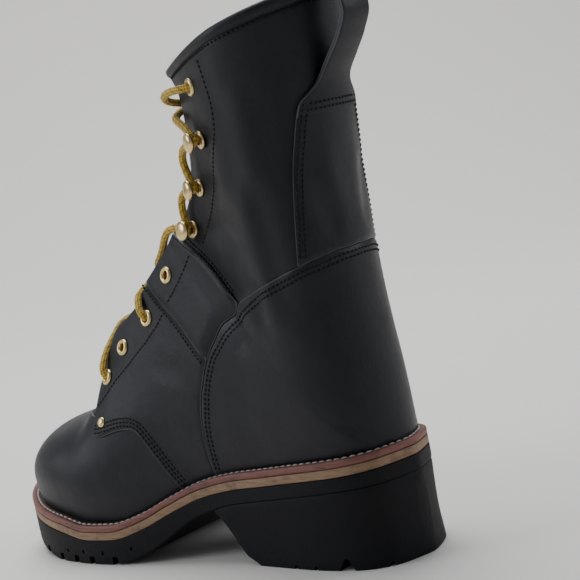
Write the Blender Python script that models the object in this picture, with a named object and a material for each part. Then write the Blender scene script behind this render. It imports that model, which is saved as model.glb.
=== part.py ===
"""Left logger boot: a lined leather shaft on a welted sole with a high stacked heel.

World frame: Z up, toe toward -Y, outer side of the foot toward +X, standing on Z = 0.
Sizes below are millimetres, measured from the back of the welt: side, along, up.
"""
import math

import bmesh
import bpy
import numpy as np
from mathutils import Matrix, Vector

for item in list(bpy.data.objects):
    bpy.data.objects.remove(item, do_unlink=True)

# Driving sizes in millimetres
GAP = 0.3
OVERLAY_GAP = 0.55
WALL = 2.2
OVERLAY = 1.6
STRAP_RISE = 1.3
COLLAR_BAND = 6.0
COLLAR_RISE = 0.9
NOSE_DEPTH = 10.0
WELT_REACH = 6.5
WELT_INSET = 2.6
WELT_THICKNESS = 3.7
MIDSOLE_DROP = 9.0
INSOLE_INSET = 3.2
INSOLE_TOP = 2.5
TONGUE_DEPTH = 3.1
TONGUE_DEPTH_LOW = 4.2
TONGUE_THICKNESS = 2.4
EYELET_HOLE = 3.4
EYELET_BARREL = 2.8
EYELET_BORE = 2.2
EYELET_FLANGE = 4.8
HARDWARE_LIFT = 0.65
CORD_RADIUS = 2.1
CORD_LIFT = 5.2
CENTRE_SIDE = -1.4601
CENTRE_ALONG = 142.9284

# Sections from the toe to the collar. Each runs from the ridge over the side to its base.
SECTIONS = [
    # number, base along, base up, base outer, base inner, ridge along, ridge up, ridge side,
    # outer, inner, belly, nose, roof power, roof root, tuck
    (0, 294.5, 37.3, -4.8, 4.8, 294.5, 38.3, -4.8, -4.8, 4.8, 0.62, 0.0, 2.2, 2.2, 60),
    (1, 291.0, 36.3, 9.0, 23.0, 291.5, 52.0, -5.0, 9.6, 23.6, 0.64, 0.0, 2.2, 2.2, 60),
    (2, 282.0, 34.3, 22.5, 34.5, 284.0, 61.5, -5.0, 23.6, 35.6, 0.66, 0.0, 2.2, 2.2, 60),
    (3, 270.0, 32.0, 32.5, 43.0, 273.0, 69.5, -4.5, 34.2, 44.6, 0.68, 0.0, 2.2, 2.2, 60),
    (4, 255.0, 29.7, 40.0, 48.2, 259.0, 75.5, -4.0, 42.5, 50.5, 0.68, 0.0, 2.2, 2.2, 60),
    (5, 235.0, 27.0, 44.8, 48.9, 242.0, 79.5, -3.0, 47.5, 51.5, 0.68, 0.0, 2.1, 2.2, 60),
    (6, 214.0, 23.5, 46.2, 47.2, 225.0, 85.0, -2.5, 49.0, 49.5, 0.68, 2.5, 2.0, 1.9, 60),
    (7, 193.0, 23.9, 44.6, 43.2, 214.5, 100.0, -2.0, 46.8, 45.0, 0.68, 6.5, 1.8, 1.6, 58),
    (8, 172.0, 29.0, 40.4, 37.0, 205.0, 116.5, -1.5, 42.8, 39.5, 0.68, 9.5, 1.7, 1.38, 56),
    (9, 150.0, 38.1, 35.2, 30.0, 196.5, 132.5, -1.0, 38.5, 34.5, 0.68, 11.0, 1.6, 1.25, 56),
    (10, 128.0, 46.2, 31.3, 25.5, 184.0, 143.0, 0.0, 35.0, 31.0, 0.67, 12.0, 1.55, 1.2, 56),
    (11, 104.0, 51.2, 30.2, 25.5, 171.5, 152.0, 0.0, 33.8, 30.5, 0.66, 12.5, 1.5, 1.15, 58),
    (12, 80.0, 54.0, 30.8, 28.0, 160.0, 160.5, 0.0, 34.0, 31.5, 0.66, 12.5, 1.45, 1.1, 60),
    (13, 56.0, 56.7, 31.2, 29.5, 149.5, 169.5, 0.0, 34.6, 33.0, 0.66, 12.5, 1.45, 1.05, 63),
    (14, 32.0, 58.8, 28.6, 27.8, 140.0, 178.5, 0.0, 34.8, 34.0, 0.66, 12.5, 1.4, 1.05, 68),
    (15, 14.2, 60.5, 18.5, 18.0, 134.0, 185.0, 0.0, 34.8, 34.0, 0.66, 12.5, 1.4, 1.0, 78),
    (16, 7.5, 61.2, 0.0, 0.0, 129.5, 190.0, 0.0, 34.6, 34.0, 0.66, 12.5, 1.4, 1.0, 90),
    (17, 7.9, 71.0, 0.0, 0.0, 125.5, 195.0, 0.0, 34.4, 34.0, 0.66, 12.5, 1.4, 1.0, 90),
    (18, 8.8, 88.0, 0.0, 0.0, 121.5, 200.0, 0.0, 34.2, 34.0, 0.66, 12.5, 1.4, 1.0, 90),
    (19, 10.6, 110.0, 0.0, 0.0, 117.8, 205.5, 0.0, 34.3, 34.2, 0.65, 12.5, 1.4, 1.0, 90),
    (20, 12.2, 133.0, 0.0, 0.0, 114.5, 212.0, 0.0, 35.0, 35.0, 0.64, 12.0, 1.4, 1.0, 90),
    (21, 13.2, 156.0, 0.0, 0.0, 112.0, 219.5, 0.0, 36.0, 36.0, 0.63, 12.0, 1.4, 1.0, 90),
    (22, 13.8, 178.0, 0.0, 0.0, 110.5, 228.0, 0.0, 37.0, 37.0, 0.62, 12.0, 1.4, 1.0, 90),
    (23, 13.2, 200.0, 0.0, 0.0, 109.8, 236.5, 0.0, 38.0, 38.0, 0.61, 12.0, 1.4, 1.0, 90),
    (24, 11.5, 222.0, 0.0, 0.0, 109.5, 244.0, 0.0, 39.0, 39.0, 0.60, 12.0, 1.4, 1.0, 90),
    (25, 8.5, 246.0, 0.0, 0.0, 110.0, 251.5, 0.0, 40.0, 40.0, 0.60, 12.0, 1.4, 1.0, 90),
    (26, 5.5, 270.0, 0.0, 0.0, 111.5, 259.5, 0.0, 41.0, 41.0, 0.60, 12.0, 1.4, 1.0, 90),
    (27, 3.0, 294.0, 0.0, 0.0, 113.5, 267.0, 0.0, 42.0, 42.0, 0.60, 12.0, 1.4, 1.0, 90),
]
HEEL_SECTION = 16
COLLAR_SECTION = 27
SIDE_COLUMNS = 11
UPPER_ROWS = [
    0.0, 0.35, 0.8, 1.35, 2.0, 2.8, 3.7, 4.7, 5.6, 6.4, 7.1, 7.7, 8.3, 8.9, 9.5, 10.2, 11.0, 11.9,
    12.9, 13.9, 14.6, 15.1, 15.5, 15.8, 16.0, 16.8, 17.8, 18.8, 19.8, 20.8, 21.8, 22.8, 23.8, 24.8, 25.6,
]
TONGUE_UPPER_ROWS = [14.6, 16.0, 17.8, 19.8, 21.8, 23.8, 25.6, 26.5]

# Height of the seam between upper and welt
FEATHER_LINE = [
    # along, up
    (-6.0, 62.0), (7.5, 61.2), (14.2, 60.5), (32.0, 58.8), (56.0, 56.7), (80.0, 54.0),
    (104.0, 51.2), (128.0, 46.2), (150.0, 38.1), (172.0, 29.0), (193.0, 23.9), (214.0, 23.5),
    (235.0, 27.0), (255.0, 29.7), (270.0, 32.0), (282.0, 34.3), (291.0, 36.3), (294.5, 37.3),
    (306.0, 40.6),
]
# Underside of the rubber sheet, flat on the floor under the ball
TREAD_LINE = [
    # along, up
    (-6.0, 44.6), (14.0, 43.5), (56.0, 39.7), (80.0, 37.0), (104.0, 34.0), (122.0, 30.0),
    (138.0, 24.0), (152.0, 16.0), (168.0, 7.0), (182.0, 2.0), (196.0, 0.0), (242.0, 0.0),
    (256.0, 1.8), (272.0, 5.6), (288.0, 10.4), (303.0, 15.6),
]
# Edges across the skin: section against place around, 0 at the ridge and 1 at the base
THROAT_EDGE = [
    # section, around
    (0.0, 0.25), (6.4, 0.25), (7.1, 0.36), (7.5, 0.41), (7.8, 0.36), (8.0, 0.32), (8.6, 0.285),
    (9.1, 0.24), (9.5, 0.20), (10.5, 0.215),
    (11.1, 0.21), (11.9, 0.165), (13.9, 0.165), (15.7, 0.16), (17.6, 0.182), (19.8, 0.205),
    (22.7, 0.235), (23.7, 0.25), (25.4, 0.26), (26.6, 0.205), (27.0, 0.19),
]
QUARTER_FRONT = [
    # section, around
    (7.42, 0.495), (7.60, 0.42), (7.80, 0.36), (8.0, 0.32), (8.6, 0.29), (9.1, 0.245), (9.5, 0.205),
    (10.5, 0.22), (11.1, 0.215), (11.9, 0.17), (13.9, 0.17), (15.7, 0.165),
]
QUARTER_REAR = [
    # section, around
    (7.42, 0.505), (7.69, 0.531), (8.37, 0.572), (8.76, 0.602), (9.08, 0.633), (9.20, 0.68),
    (9.25, 0.76), (9.29, 0.84), (9.32, 0.92), (9.35, 1.0), (10.46, 1.0),
]
COUNTER_EDGE = [
    # section, around
    (10.50, 0.99), (10.56, 0.95), (10.84, 0.841), (11.25, 0.737), (11.78, 0.653), (12.39, 0.597),
    (12.95, 0.558), (13.43, 0.533), (14.76, 0.499), (16.82, 0.507), (18.68, 0.585),
    (19.63, 0.657), (20.46, 0.746), (20.93, 0.827), (21.25, 0.913), (21.32, 0.985),
]
BACKSTAY_EDGE = [
    # section, around
    (20.3, 0.76), (20.8, 0.768), (22.3, 0.795), (23.0, 0.807), (24.1, 0.834), (24.7, 0.858),
    (24.95, 0.89), (25.2, 0.93), (25.4, 0.955),
]
STRAP_LOWER = [
    # around, section
    (0.14, 12.05), (0.176, 12.13), (0.304, 12.42), (0.34, 12.53), (0.422, 12.79), (0.56, 12.95),
]
STRAP_UPPER = [
    # around, section
    (0.14, 15.5), (0.236, 15.9), (0.344, 16.78), (0.428, 17.06), (0.56, 17.05),
]
COUNTER_TOP = [
    # around, section
    (0.76, 20.56), (0.83, 20.95), (0.913, 21.25), (1.0, 21.34),
]
EYELETS = [
    # name, section, around, lift of the leather under it
    ("1", 8.59, 0.366, 1.9),
    ("2", 9.76, 0.339, 1.9),
    ("3", 11.40, 0.316, 1.9),
    ("4", 13.47, 0.260, 3.2),
    ("5", 25.58, 0.427, 0.0),
]
HOOKS = [
    # name, section, around
    ("1", 17.63, 0.266),
    ("2", 20.79, 0.322),
    ("3", 23.46, 0.426),
]
RIVET = (7.93, 0.492)
RIVET_RADIUS = 2.4
LACE_ZIGZAG = [
    # section, side of the throat
    (8.60, -1), (9.76, 1), (11.40, -1), (13.47, 1), (17.63, -1), (20.79, 1), (23.46, -1), (25.58, 1),
]
PULL_LOOP = [
    # along, up, cross bow
    (8.6, 230.5, 0.012), (7.9, 236.0, 0.012), (5.9, 244.0, 0.011), (-0.5, 256.0, 0.010),
    (-9.0, 267.5, 0.008), (-14.3, 279.0, 0.007), (-12.8, 290.0, 0.006), (-6.5, 297.6, 0.004),
    (1.6, 299.8, 0.002), (7.6, 296.4, -0.002), (9.3, 287.0, -0.006), (9.9, 272.0, -0.006),
]
LOOP_HALF_WIDTH = 12.0
LOOP_THICKNESS = 2.0
HEEL_COLUMNS = 12
HEEL_GROOVES = [
    # along at the outer side, width, depth, lean of the walls
    (66.0, 3.2, 2.2, 1.0),
    (52.0, 3.0, 2.2, 1.0),
    (32.8, 10.4, 6.3, 4.0),
    (11.5, 3.2, 2.2, 1.0),
]
HEEL_LEVELS = [
    # share of the height, waist inset, breast along, back inset
    (0.0, 0.4, 92.5, 0.0),
    (0.14, 0.7, 100.5, 0.7),
    (0.45, 1.2, 108.0, 2.0),
    (0.8, 0.7, 114.5, 1.2),
    (1.0, 0.3, 118.5, 0.3),
]
TREAD_NOTCHES = [
    # along, reach inward, turn in degrees
    (184.0, 15.0, -4.0),
    (204.0, 16.0, 0.0),
    (222.0, 16.0, 6.0),
    (238.0, 15.0, 14.0),
    (253.0, 15.0, 26.0),
    (267.0, 14.0, 40.0),
]


def slopes(places, values):
    """Slopes that keep a curve through table rows from overshooting."""
    step = np.diff(places)
    rise = np.diff(values, axis=0) / step[:, None]
    result = np.zeros_like(values)
    before = (2 * step[1:] + step[:-1])[:, None]
    after = (step[1:] + 2 * step[:-1])[:, None]
    same = rise[1:] * rise[:-1] > 0
    left = np.where(same, rise[:-1], 1.0)
    right = np.where(same, rise[1:], 1.0)
    result[1:-1] = np.where(same, (before + after) / (before / left + after / right), 0.0)
    result[0] = rise[0]
    result[-1] = rise[-1]
    return result


def along_table(table, place):
    """Value of every column but the first where the first column equals place."""
    rows = np.asarray(table, float)
    places = rows[:, 0]
    values = rows[:, 1:]
    tangent = slopes(places, values)
    place = np.clip(np.asarray(place, float), places[0], places[-1])
    low = np.clip(np.searchsorted(places, place, side="right") - 1, 0, len(places) - 2)
    step = (places[low + 1] - places[low])[..., None]
    share = (place - places[low])[..., None] / step
    rest = 1 - share
    return ((1 + 2 * share) * rest**2 * values[low] + share * rest**2 * step * tangent[low]
            + share**2 * (3 - 2 * share) * values[low + 1] - share**2 * rest * step * tangent[low + 1])


def feather_up(along):
    return along_table(FEATHER_LINE, along)[..., 0]


def tread_up(along):
    return along_table(TREAD_LINE, along)[..., 0]


def edge(table, place):
    return along_table(table, place)[..., 0]


def bare_skin(section, around):
    """Outer face of the upper: around runs 1 outer base, 0 ridge, -1 inner base."""
    section, around = np.broadcast_arrays(np.asarray(section, float), np.asarray(around, float))
    row = along_table(SECTIONS, section)
    (base_along, base_up, base_outer, base_inner, ridge_along, ridge_up, ridge_side,
     outer, inner, belly, nose, power, root, tuck) = np.moveaxis(row, -1, 0)
    base_up = np.where(section < HEEL_SECTION, feather_up(base_along), base_up)
    sign = np.where(around >= 0, 1.0, -1.0)
    wide = np.where(around >= 0, outer, inner)
    foot = np.where(around >= 0, base_outer, base_inner)
    start = ridge_side * sign
    share = np.abs(around)
    turn = np.clip(share / belly, 0, 1) * math.pi / 2
    roof_run = belly * (1 - np.cos(turn))
    roof_side = (1 - np.clip(np.cos(turn), 0, 1) ** power) ** (1 / root)
    length = np.hypot(ridge_along - base_along, ridge_up - base_up)
    inside_nose = np.clip(roof_run * length / NOSE_DEPTH, 0, 1)
    nose_side = np.sqrt(1 - (1 - inside_nose) ** 2)
    roof = start + nose * nose_side + (wide - start - nose) * roof_side
    limit = np.radians(tuck)
    bend = np.clip((share - belly) / (1 - belly), 0, 1) * limit
    wall_run = belly + (1 - belly) * np.sin(bend) / np.sin(limit)
    wall = wide + (foot - wide) * (1 - np.cos(bend)) / (1 - np.cos(limit))
    below = share > belly
    run = np.where(below, wall_run, roof_run)
    side = np.where(below, wall, roof) * sign
    return np.stack([side, ridge_along + (base_along - ridge_along) * run,
                     ridge_up + (base_up - ridge_up) * run], -1)


def skin_normal(section, around):
    """Unit normal of the skin, pointing out of the boot."""
    section, around = np.broadcast_arrays(np.asarray(section, float), np.asarray(around, float))
    small = 0.001
    ahead = bare_skin(np.clip(section + small, 0.02, COLLAR_SECTION), around)
    behind = bare_skin(np.clip(section - small, 0.02, COLLAR_SECTION), around)
    further = bare_skin(section, np.clip(around + small, -1, 1))
    nearer = bare_skin(section, np.clip(around - small, -1, 1))
    normal = np.cross(ahead - behind, further - nearer)
    return normal / (np.linalg.norm(normal, axis=-1, keepdims=True) + 1e-12)


def skin(section, around, lift):
    """Skin moved outward by lift; along the seam to the welt it moves level."""
    section, around, lift = np.broadcast_arrays(
        np.asarray(section, float), np.asarray(around, float), np.asarray(lift, float))
    point = bare_skin(section, around)
    normal = skin_normal(section, around)
    level = normal * np.array([1.0, 1.0, 0.0])
    level = level / (np.linalg.norm(level, axis=-1, keepdims=True) + 1e-12)
    at_welt = (np.abs(around) > 0.9999) & (section < HEEL_SECTION + 0.001)
    normal = np.where(at_welt[..., None], level, normal)
    straight = normal * np.array([0.0, 1.0, 1.0])
    straight = straight / (np.linalg.norm(straight, axis=-1, keepdims=True) + 1e-12)
    at_back = (np.abs(around) > 0.9999) & (section > HEEL_SECTION - 0.001)
    normal = np.where(at_back[..., None], straight, normal)
    at_tip = section < 0.02
    normal = np.where(at_tip[..., None], np.array([0.0, 1.0, 0.0]), normal)
    return point + normal * lift[..., None]


def world(points):
    """Side, along, up in millimetres to world metres."""
    points = np.asarray(points, float)
    return np.stack([points[..., 0] - CENTRE_SIDE, CENTRE_ALONG - points[..., 1],
                     points[..., 2]], -1) * 0.001


def collection(name):
    made = bpy.data.collections.new(name)
    bpy.context.scene.collection.children.link(made)
    return made


PARTS = collection("parts")
CUTTERS = collection("cutters")


def material(name, colour, rough, metal):
    made = bpy.data.materials.new(name)
    made.use_nodes = True
    shader = made.node_tree.nodes["Principled BSDF"]
    shader.inputs["Base Color"].default_value = (*colour, 1.0)
    shader.inputs["Roughness"].default_value = rough
    shader.inputs["Metallic"].default_value = metal
    return made


LEATHER = material("leather", (0.025, 0.025, 0.028), 0.45, 0.0)
OVERLAY_LEATHER = material("overlay_leather", (0.028, 0.028, 0.031), 0.45, 0.0)
TONGUE_LEATHER = material("tongue_leather", (0.03, 0.029, 0.03), 0.55, 0.0)
LINING = material("insole_board", (0.30, 0.22, 0.15), 0.8, 0.0)
WELT_LEATHER = material("welt_leather", (0.33, 0.12, 0.08), 0.5, 0.0)
MIDSOLE_LEATHER = material("midsole_leather", (0.48, 0.33, 0.19), 0.6, 0.0)
RUBBER = material("rubber", (0.018, 0.018, 0.02), 0.6, 0.0)
BRASS = material("brass", (0.75, 0.62, 0.36), 0.28, 1.0)
CORD = material("lace_cord", (0.62, 0.42, 0.06), 0.7, 0.0)


def mesh_object(name, points, faces, stuff, home):
    """Solid from world points, turned so that its faces look outward."""
    mesh = bpy.data.meshes.new(name)
    mesh.from_pydata([tuple(point) for point in points], [], [tuple(face) for face in faces])
    work = bmesh.new()
    work.from_mesh(mesh)
    bmesh.ops.recalc_face_normals(work, faces=work.faces)
    if work.calc_volume(signed=True) < 0:
        bmesh.ops.reverse_faces(work, faces=work.faces)
    work.to_mesh(mesh)
    work.free()
    mesh.materials.append(stuff)
    made = bpy.data.objects.new(name, mesh)
    home.objects.link(made)
    return made


def cutter_object(name, points, faces):
    made = mesh_object(name, points, faces, RUBBER, CUTTERS)
    made.hide_render = True
    made.display_type = "WIRE"
    return made


def combine(target, tool, operation):
    step = target.modifiers.new(operation.lower(), "BOOLEAN")
    step.object = tool
    step.operation = operation
    step.solver = "EXACT"


def shell(name, sections, arounds, low, high, keep, stuff):
    """Closed leather piece between two lifts of the skin over a grid of places."""
    sections, arounds, low, high = np.broadcast_arrays(sections, arounds, low, high)
    rows, columns = sections.shape
    outer = world(skin(sections, arounds, high)).reshape(-1, 3)
    inner = world(skin(sections, arounds, low)).reshape(-1, 3)
    index = {}
    merged = []
    used = []
    for number, point in enumerate(np.round(outer * 2e5).astype(int)):
        key = tuple(point)
        if key not in index:
            index[key] = len(used)
            used.append(number)
        merged.append(index[key])
    count = len(used)
    points = np.concatenate([outer[used], inner[used]])
    faces = []
    directed = set()
    for row in range(rows - 1):
        for column in range(columns - 1):
            if not keep[row, column]:
                continue
            corners = (row * columns + column, row * columns + column + 1,
                       (row + 1) * columns + column + 1, (row + 1) * columns + column)
            ring = []
            for corner in corners:
                if merged[corner] not in ring:
                    ring.append(merged[corner])
            if len(ring) < 3:
                continue
            faces.append(tuple(ring))
            faces.append(tuple(place + count for place in reversed(ring)))
            for first, second in zip(ring, ring[1:] + ring[:1]):
                directed.add((first, second))
    for first, second in sorted(directed):
        if (second, first) not in directed:
            faces.append((second, first, first + count, second + count))
    return mesh_object(name, points, faces, stuff, PARTS)


def across(front, rear, count):
    """Row of places around the skin from front to rear."""
    share = np.linspace(0, 1, count)
    return front + (rear - front) * share


def fitted(section, front, rear):
    """Places around that follow the facets of the upper, held between front and rear."""
    return np.clip(across(1.0, edge(THROAT_EDGE, section), SIDE_COLUMNS), front, rear)[::-1]


# Upper: vamp and shaft in one wall, open at the collar, the throat and underneath
def build_upper():
    side_columns = SIDE_COLUMNS
    middle_columns = 5
    throat_row = UPPER_ROWS.index(6.4)
    sections = []
    arounds = []
    lifts = []
    for row in UPPER_ROWS:
        limit = edge(THROAT_EDGE, row)
        outer = across(1.0, limit, side_columns)
        middle = across(limit, -limit, middle_columns)
        line = np.concatenate([outer, middle[1:-1], -outer[::-1]])
        sections.append(np.full(len(line), row))
        arounds.append(line)
        lifts.append(np.zeros(len(line)))
    for step, rise in ((0.0, 0.0), (0.03, COLLAR_RISE), (1.0, COLLAR_RISE)):
        line = arounds[-1]
        size = 7.5 + 16.5 * np.abs(line)
        start = COLLAR_SECTION - COLLAR_BAND / size
        place = start + (COLLAR_SECTION - start) * step
        limit = edge(THROAT_EDGE, place[side_columns - 1])
        outer = across(1.0, limit, side_columns)
        middle = across(limit, -limit, middle_columns)
        line = np.concatenate([outer, middle[1:-1], -outer[::-1]])
        sections.append(place)
        arounds.append(line)
        lifts.append(np.full(len(line), rise))
    sections = np.array(sections)
    arounds = np.array(arounds)
    lifts = np.array(lifts)
    keep = np.ones((sections.shape[0] - 1, sections.shape[1] - 1), bool)
    keep[throat_row:, side_columns - 1:side_columns + middle_columns - 2] = False
    return shell("upper", sections, arounds, -WALL, lifts, keep, LEATHER)


def with_upper_rows(rows):
    """Own rows joined by the rows of the upper that lie between them."""
    inside = [row for row in UPPER_ROWS if rows[0] < row < rows[-1]]
    close = [row for row in rows[1:-1] if min(abs(row - other) for other in inside) > 0.12]
    return sorted(set(inside + close + [rows[0], rows[-1]]))


# Quarters: front side panels with a raised strap across their upper edge
def build_quarter(name, sign):
    columns = SIDE_COLUMNS
    rows = with_upper_rows([7.42, 8.0, 8.6, 9.2, 9.25, 9.29, 9.32, 9.35, 10.45, 10.62, 11.4, 11.75])
    sections = []
    arounds = []
    lifts = []
    for row in rows:
        rear = edge(QUARTER_REAR, row) if row < 10.5 else edge(COUNTER_EDGE, row) - 0.006
        line = fitted(row, edge(QUARTER_FRONT, row), rear)
        sections.append(np.full(columns, row))
        arounds.append(line)
        lifts.append(GAP + OVERLAY)
    for share, rise in ((-0.012, 0.0), (0.0, STRAP_RISE), (0.25, STRAP_RISE), (0.5, STRAP_RISE),
                        (0.75, STRAP_RISE), (1.0, STRAP_RISE)):
        middle = 12.6 + 4.0 * max(share, 0.0)
        front = edge(QUARTER_FRONT, min(middle, 15.6))
        rear = edge(COUNTER_EDGE, 12.93 + 4.1 * max(share, 0.0)) - 0.006
        line = fitted(middle, front, rear)
        low = edge(STRAP_LOWER, line)
        high = edge(STRAP_UPPER, line)
        sections.append(low + (high - low) * share)
        arounds.append(line)
        lifts.append(GAP + OVERLAY + rise)
    sections = np.array(sections)
    arounds = np.array(arounds) * sign
    lifts = np.array(lifts)[:, None]
    keep = np.ones((sections.shape[0] - 1, columns - 1), bool)
    return shell(name, sections, arounds, OVERLAY_GAP, lifts, keep, OVERLAY_LEATHER)


# Heel counter: wraps the back of the heel from the welt to the ankle
def build_counter():
    columns = SIDE_COLUMNS
    rows = with_upper_rows([10.5, 10.56, 10.72, 11.3, 12.4, 20.35, 21.1, 21.25, 21.32])
    sections = []
    arounds = []
    for row in rows:
        outer = fitted(row, edge(COUNTER_EDGE, row), 1.0)
        line = np.concatenate([outer, -outer[::-1]])
        sections.append(np.full(len(line), row))
        arounds.append(line)
    sections = np.array(sections)
    arounds = np.array(arounds)
    keep = np.ones((len(rows) - 1, 2 * columns - 1), bool)
    keep[:, columns - 1] = False
    return shell("heel_counter", sections, arounds, OVERLAY_GAP, GAP + OVERLAY, keep, OVERLAY_LEATHER)


# Backstay and pull loop: back strip that leaves the shaft and folds over the collar
def build_backstay():
    columns = SIDE_COLUMNS
    shares = [0.0, 0.22, 0.44, 0.66, 0.8, 0.9, 1.0]
    sections = []
    arounds = []
    for share in shares:
        row = 20.9 + (25.4 - 20.9) * share
        outer = fitted(row, edge(BACKSTAY_EDGE, row), 1.0)
        base = edge(COUNTER_TOP, outer) + 0.03
        line = np.concatenate([outer, -outer[::-1]])
        start = np.concatenate([base, base[::-1]])
        sections.append(start + (25.4 - start) * share)
        arounds.append(line)
    sections = np.array(sections)
    arounds = np.array(arounds)
    keep = np.ones((len(shares) - 1, 2 * columns - 1), bool)
    keep[:, columns - 1] = False
    stay = shell("backstay", sections, arounds, OVERLAY_GAP, GAP + OVERLAY, keep, OVERLAY_LEATHER)

    path = np.array(PULL_LOOP)
    travel = np.concatenate([[0.0], np.cumsum(np.hypot(*np.diff(path[:, :2], axis=0).T))])
    fine = np.linspace(0, travel[-1], 25)
    line = along_table(np.column_stack([travel, path]), fine)
    tangent = np.gradient(line[:, :2], axis=0)
    tangent = tangent / np.linalg.norm(tangent, axis=1, keepdims=True)
    normal = np.column_stack([-tangent[:, 1], tangent[:, 0]])
    sides = np.linspace(-LOOP_HALF_WIDTH, LOOP_HALF_WIDTH, 5)
    points = []
    for place, out, bow in zip(line[:, :2], normal, line[:, 2]):
        for half in (LOOP_THICKNESS / 2, -LOOP_THICKNESS / 2):
            for side in sides:
                spot = place + out * (half - bow * side * side)
                points.append((side, spot[0], spot[1]))
    faces = []
    ring = 2 * len(sides)
    for row in range(len(fine) - 1):
        base = row * ring
        loop = list(range(len(sides))) + list(range(ring - 1, len(sides) - 1, -1))
        for first, second in zip(loop, loop[1:] + loop[:1]):
            faces.append((base + first, base + second, base + ring + second, base + ring + first))
    for base in (0, (len(fine) - 1) * ring):
        for column in range(len(sides) - 1):
            faces.append((base + column, base + column + 1, base + len(sides) + column + 1,
                          base + len(sides) + column))
    strap = cutter_object("pull_loop_strap", world(np.array(points)), faces)
    combine(stay, strap, "UNION")
    return stay


# Tongue: lies under the throat from the vamp to just below the collar
def build_tongue():
    rows = [row for row in UPPER_ROWS if 5.5 < row < 13.0] + TONGUE_UPPER_ROWS
    sections = []
    arounds = []
    for row in rows:
        limit = edge(THROAT_EDGE, row)
        step = (1 - limit) / (SIDE_COLUMNS - 1)
        half = np.array([limit + 2 * step, limit + step, limit, limit / 2])
        line = np.concatenate([half, [0.0], -half[::-1]])
        sections.append(np.full(len(line), row))
        arounds.append(line)
    sections = np.array(sections)
    arounds = np.array(arounds)
    keep = np.ones((sections.shape[0] - 1, sections.shape[1] - 1), bool)
    depth = np.interp(rows, (7.7, 10.2), (TONGUE_DEPTH_LOW, TONGUE_DEPTH))[:, None]
    return shell("tongue", sections, arounds, -depth - TONGUE_THICKNESS, -depth, keep, TONGUE_LEATHER)


# Outlines of the sole pieces: the seam line of the upper grown or shrunk in plan
def outline(grow):
    """Outer and inner side points of the plan outline from toe to heel."""
    rows = np.array([row for row in UPPER_ROWS if row <= HEEL_SECTION])
    outer = bare_skin(rows, 1.0)[:, :2]
    inner = bare_skin(rows, -1.0)[:, :2]
    whole = np.concatenate([outer, inner[::-1][1:-1]])
    step = np.roll(whole, -1, 0) - np.roll(whole, 1, 0)
    normal = np.column_stack([-step[:, 1], step[:, 0]])
    normal = normal / np.linalg.norm(normal, axis=1, keepdims=True)
    if normal[len(rows) // 2, 0] < 0:
        normal = -normal
    grown = whole + normal * grow
    outer = grown[:len(rows)]
    inner = np.concatenate([grown[:1], grown[len(rows):][::-1], grown[len(rows) - 1:len(rows)]])
    return outer, inner


def plate(name, grow, top, bottom, stuff):
    """Solid sheet between two heights over the plan outline."""
    outer, inner = outline(grow)
    count = len(outer)
    points = []
    for height in (top, bottom):
        for line in (outer, inner):
            points.extend((side, along, height(along)) for side, along in line)
    faces = []
    for row in range(count - 1):
        for base, turn in ((0, 1), (2 * count, -1)):
            ring = [base + row, base + row + 1, base + count + row + 1, base + count + row]
            faces.append(tuple(ring[::turn]))
        for base in (0, count):
            faces.append((base + row, base + row + 1, 2 * count + base + row + 1, 2 * count + base + row))
    return clean_solid(name, world(np.array(points)), faces, stuff, PARTS)


def clean_solid(name, points, faces, stuff, home):
    """Mesh object whose doubled points are welded before its faces are turned."""
    mesh = bpy.data.meshes.new(name)
    mesh.from_pydata([tuple(point) for point in points], [], [tuple(face) for face in faces])
    work = bmesh.new()
    work.from_mesh(mesh)
    bmesh.ops.remove_doubles(work, verts=work.verts, dist=1e-5)
    bmesh.ops.dissolve_degenerate(work, edges=work.edges, dist=1e-6)
    bmesh.ops.recalc_face_normals(work, faces=work.faces)
    if work.calc_volume(signed=True) < 0:
        bmesh.ops.reverse_faces(work, faces=work.faces)
    work.to_mesh(mesh)
    work.free()
    mesh.materials.append(stuff)
    made = bpy.data.objects.new(name, mesh)
    home.objects.link(made)
    return made


# Welt: ring of leather that the upper is sewn to
def build_welt():
    lines = [outline(WELT_REACH), outline(-WELT_INSET)]
    rings = []
    for outer, inner in lines:
        rings.append(np.concatenate([outer, inner[::-1][1:-1]]))
    points = []
    for drop in (GAP, GAP + WELT_THICKNESS):
        for ring in rings:
            points.extend((side, along, feather_up(along) - drop) for side, along in ring)
    count = len(rings[0])
    faces = []
    for number in range(count):
        after = (number + 1) % count
        for first, second in ((0, 1), (1, 3), (3, 2), (2, 0)):
            faces.append((first * count + number, first * count + after,
                          second * count + after, second * count + number))
    return clean_solid("welt", world(np.array(points)), faces, WELT_LEATHER, PARTS)


def build_sole():
    plate("insole", -INSOLE_INSET, lambda a: feather_up(a) + INSOLE_TOP,
          lambda a: feather_up(a) - WELT_THICKNESS, LINING)
    plate("midsole", WELT_REACH, lambda a: feather_up(a) - WELT_THICKNESS - 2 * GAP,
          lambda a: feather_up(a) - MIDSOLE_DROP, MIDSOLE_LEATHER)
    tread = plate("outsole", WELT_REACH, lambda a: feather_up(a) - MIDSOLE_DROP - GAP, tread_up, RUBBER)
    points = []
    faces = []
    outer, inner = outline(WELT_REACH)
    for line, sign in ((outer, 1.0), (inner, -1.0)):
        order = np.argsort(line[:, 1])
        for along, reach, turn in TREAD_NOTCHES:
            side = np.interp(along, line[order, 1], line[order, 0])
            add_bar(points, faces, (side, along, tread_up(along)), reach, 3.4, 7.5, math.radians(turn) * sign)
    for along in (193.0, 210.0, 227.0, 244.0):
        add_bar(points, faces, (-3.0, along, tread_up(along)), 19.0, 3.0, 7.0, 0.0)
    combine(tread, cutter_object("tread_cuts", world(np.array(points)), faces), "DIFFERENCE")


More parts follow.
